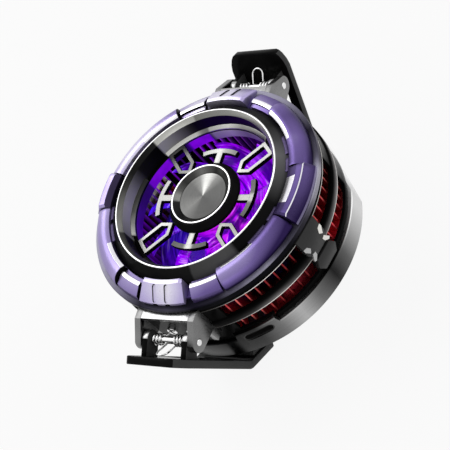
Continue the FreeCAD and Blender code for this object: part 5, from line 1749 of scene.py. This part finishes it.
    def spring_path(self):
        """Centre line of the wire: tail, three turns, the loop on the lever, three turns, tail."""
        radius = pin_radius + 0.42
        first, end = -54.0, -4.7
        turns, count = 3, 24
        left = []
        for i in range(turns * count + 1):
            a = math.radians(first + FULL_TURN * i / count)
            left.append(Vector((end + i / count, radius * math.cos(a), radius * math.sin(a))))
        a = math.radians(first)
        heading = Vector((0, -math.sin(a), math.cos(a)))
        seat = bracket_plate_radius + 0.3 - pin_reach
        tail = left[0] - heading * ((left[0].y - seat) / heading.y)
        lean = self.lean()
        outwards = Vector((0, math.cos(lean), -math.sin(lean)))
        wall = lever_offset - lever_thickness - 0.55
        last = left[-1]
        run = (wall - last.dot(outwards)) / heading.dot(outwards) - abs(last.x)
        knee = last + heading * run
        loop = []
        steps = 12
        for i in range(1, steps):
            t = math.pi * i / steps
            across = Vector((knee.x * math.cos(t), knee.y, knee.z))
            loop.append(across + heading * (abs(knee.x) * math.sin(t)))
        half = [tail] + left + [knee]
        path = half + loop + [Vector((-p.x, p.y, p.z)) for p in reversed(half)]
        return [p + Vector((0, pin_reach, pin_level)) for p in path]


class CoolerContact(bpy.types.Operator):
    """Contact side: silicone pad and base screws"""

    bl_idname = "cooler.contact"
    bl_label = "Contact Side"

    def execute(self, context):
        radius = high("contact_pad").x
        top = high("contact_pad").z
        pad = Solid().dome([(0, 0), (radius - 0.5, 0), (radius - 0.15, 0.12), (radius, 0.5), (radius, top),
                            (0, top)], step=2)
        dress(new_object("silicone_pad", pad, ["silicone"]), "frame", "silicone", "contact_pad", edge=0)
        head, shank = 1.8, 1.0
        rear, tip = base_rear + 0.2, 7.9
        drive = rear + 0.5
        screw = Solid().dome([(0, drive), (0.8, drive), (0.85, rear), (head - 0.25, rear),
                              (head, rear + 0.25), (head, screw_seat), (shank, screw_seat), (shank, tip),
                              (0, tip)], step=30)
        screw.moved(Matrix.Translation((screw_circle, 0, 0)))
        screws = repeated("screws", screw, SCREW_COUNT, 0, "bright_steel", 0)
        dress(screws, "frame", "bright_steel", "base_screws", edge=0, angle=50)
        return {"FINISHED"}


class CoolerNodes(bpy.types.Operator):
    """Finishes for the construction nodes that stay"""

    bl_idname = "cooler.nodes"
    bl_label = "Construction Nodes"

    def execute(self, context):
        others = {"port_shell": "dark_satin"}
        for name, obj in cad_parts.items():
            for slot in obj.material_slots:
                finish = others.get(name, slot.material.name.split(".")[0])
                if finish not in finishes:
                    raise ValueError("no finish for " + finish + " on " + name)
                slot.material = finishes[finish]
        return {"FINISHED"}


class CoolerStage(bpy.types.Operator):
    """Pale floor, soft lamps and the camera"""

    bl_idname = "cooler.stage"
    bl_label = "Stage"

    def execute(self, context):
        self.floor()
        self.lamp("Key Lamp", (-0.55, 0.15, 0.75), 0.7, 3.0)
        self.lamp("Side Lamp", (0.75, 0.55, 0.35), 0.6, 0.9)
        self.lamp("Low Lamp", (0.35, -0.85, 0.35), 0.6, 0.7)
        self.world()
        self.camera()
        bpy.context.scene.view_settings.view_transform = "Standard"
        return {"FINISHED"}

    @staticmethod
    def floor():
        half, depth = 4000.0, 20
        level = low("upper_lever").z - 0.05
        points = [(-half, -half), (half, -half), (half, half), (-half, half)]
        obj = new_object("floor", Solid().prism(flat_points(points, level - depth), (0, 0, depth)), [])
        finish = Finish("Pale Floor", grey(0.86), 0.95, specular_ior_level=0.1)
        finish.set("Base Color", finish.mix(finish.noise(3.0), grey(0.84), grey(0.88)))
        finish.show_white(0.9)
        obj.data.materials.append(finish.material)

    @staticmethod
    def lamp(name, place, width, power):
        data = bpy.data.lights.new(name, "AREA")
        data.shape = "DISK"
        data.size = width
        data.energy = power
        obj = bpy.data.objects.new(name, data)
        obj.location = place
        obj.rotation_euler = (-Vector(place)).to_track_quat("-Z", "Y").to_euler()
        bpy.context.scene.collection.objects.link(obj)

    @staticmethod
    def world():
        world = bpy.data.worlds.new("Studio")
        bpy.context.scene.world = world
        world.use_nodes = True
        tree = world.node_tree
        shader = next(n for n in tree.nodes if n.type == "BACKGROUND")
        shader.inputs["Color"].default_value = (*grey(1.0), 1.0)
        strength = looked_at(tree) * (1.0 - STUDIO_LEVEL) + STUDIO_LEVEL
        tree.links.new(strength.socket, shader.inputs["Strength"])

    @staticmethod
    def camera():
        """The photograph's camera, at a distance of 350 mm from a point on the axis."""
        azimuth, elevation, roll = (math.radians(v) for v in (54.81, 45.4, -44.92))
        distance, target_level = 350.0, 12.6
        back = Vector((math.sin(azimuth) * math.cos(elevation), -math.cos(azimuth) * math.cos(elevation),
                       math.sin(elevation)))
        right = Vector((0, 0, 1)).cross(back).normalized()
        up = back.cross(right)
        x_axis = right * math.cos(roll) + up * math.sin(roll)
        y_axis = up * math.cos(roll) - right * math.sin(roll)
        target = Vector((0, 0, target_level * MM))
        data = bpy.data.cameras.new("Camera")
        data.sensor_width = 36.0
        data.lens = 101.64
        data.shift_x = -0.0077
        data.shift_y = -0.0074
        data.clip_start = 0.01
        data.clip_end = 20.0
        obj = bpy.data.objects.new("Camera", data)
        turn = Matrix((x_axis, y_axis, back)).transposed().to_4x4()
        obj.matrix_world = Matrix.Translation(target + back * (distance * MM)) @ turn
        bpy.context.scene.collection.objects.link(obj)
        bpy.context.scene.camera = obj


class CoolerPanel(bpy.types.Panel):
    """Lists the cooler's sizes, colours and pieces"""

    bl_idname = "VIEW3D_PT_cooler"
    bl_label = "Phone Cooler"
    bl_space_type = "VIEW_3D"
    bl_region_type = "UI"
    bl_category = "Phone Cooler"

    def draw(self, context):
        for group in (context.scene.cooler_sizes, context.scene.cooler_colours):
            column = self.layout.column(align=True)
            for name in group.__annotations__:
                column.prop(group, name)
        for operator in OPERATORS:
            self.layout.operator(operator.bl_idname)


OPERATORS = (CoolerNodes, CoolerBase, CoolerCage, CoolerPillars, CoolerFins, CoolerRing, CoolerFunnel,
             CoolerGuard, CoolerFan, CoolerClamps, CoolerContact, CoolerStage)
CLASSES = (CoolerSizes, CoolerColours) + OPERATORS + (CoolerPanel,)


def register():
    for cls in CLASSES:
        bpy.utils.register_class(cls)
    bpy.types.Scene.cooler_sizes = PointerProperty(type=CoolerSizes)
    bpy.types.Scene.cooler_colours = PointerProperty(type=CoolerColours)


def unregister():
    del bpy.types.Scene.cooler_colours
    del bpy.types.Scene.cooler_sizes
    for cls in reversed(CLASSES):
        bpy.utils.unregister_class(cls)


def main():
    register()
    make_finishes()
    for operator in OPERATORS:
        group, name = operator.bl_idname.split(".")
        getattr(getattr(bpy.ops, group), name)()


if __name__ == "__main__":
    main()
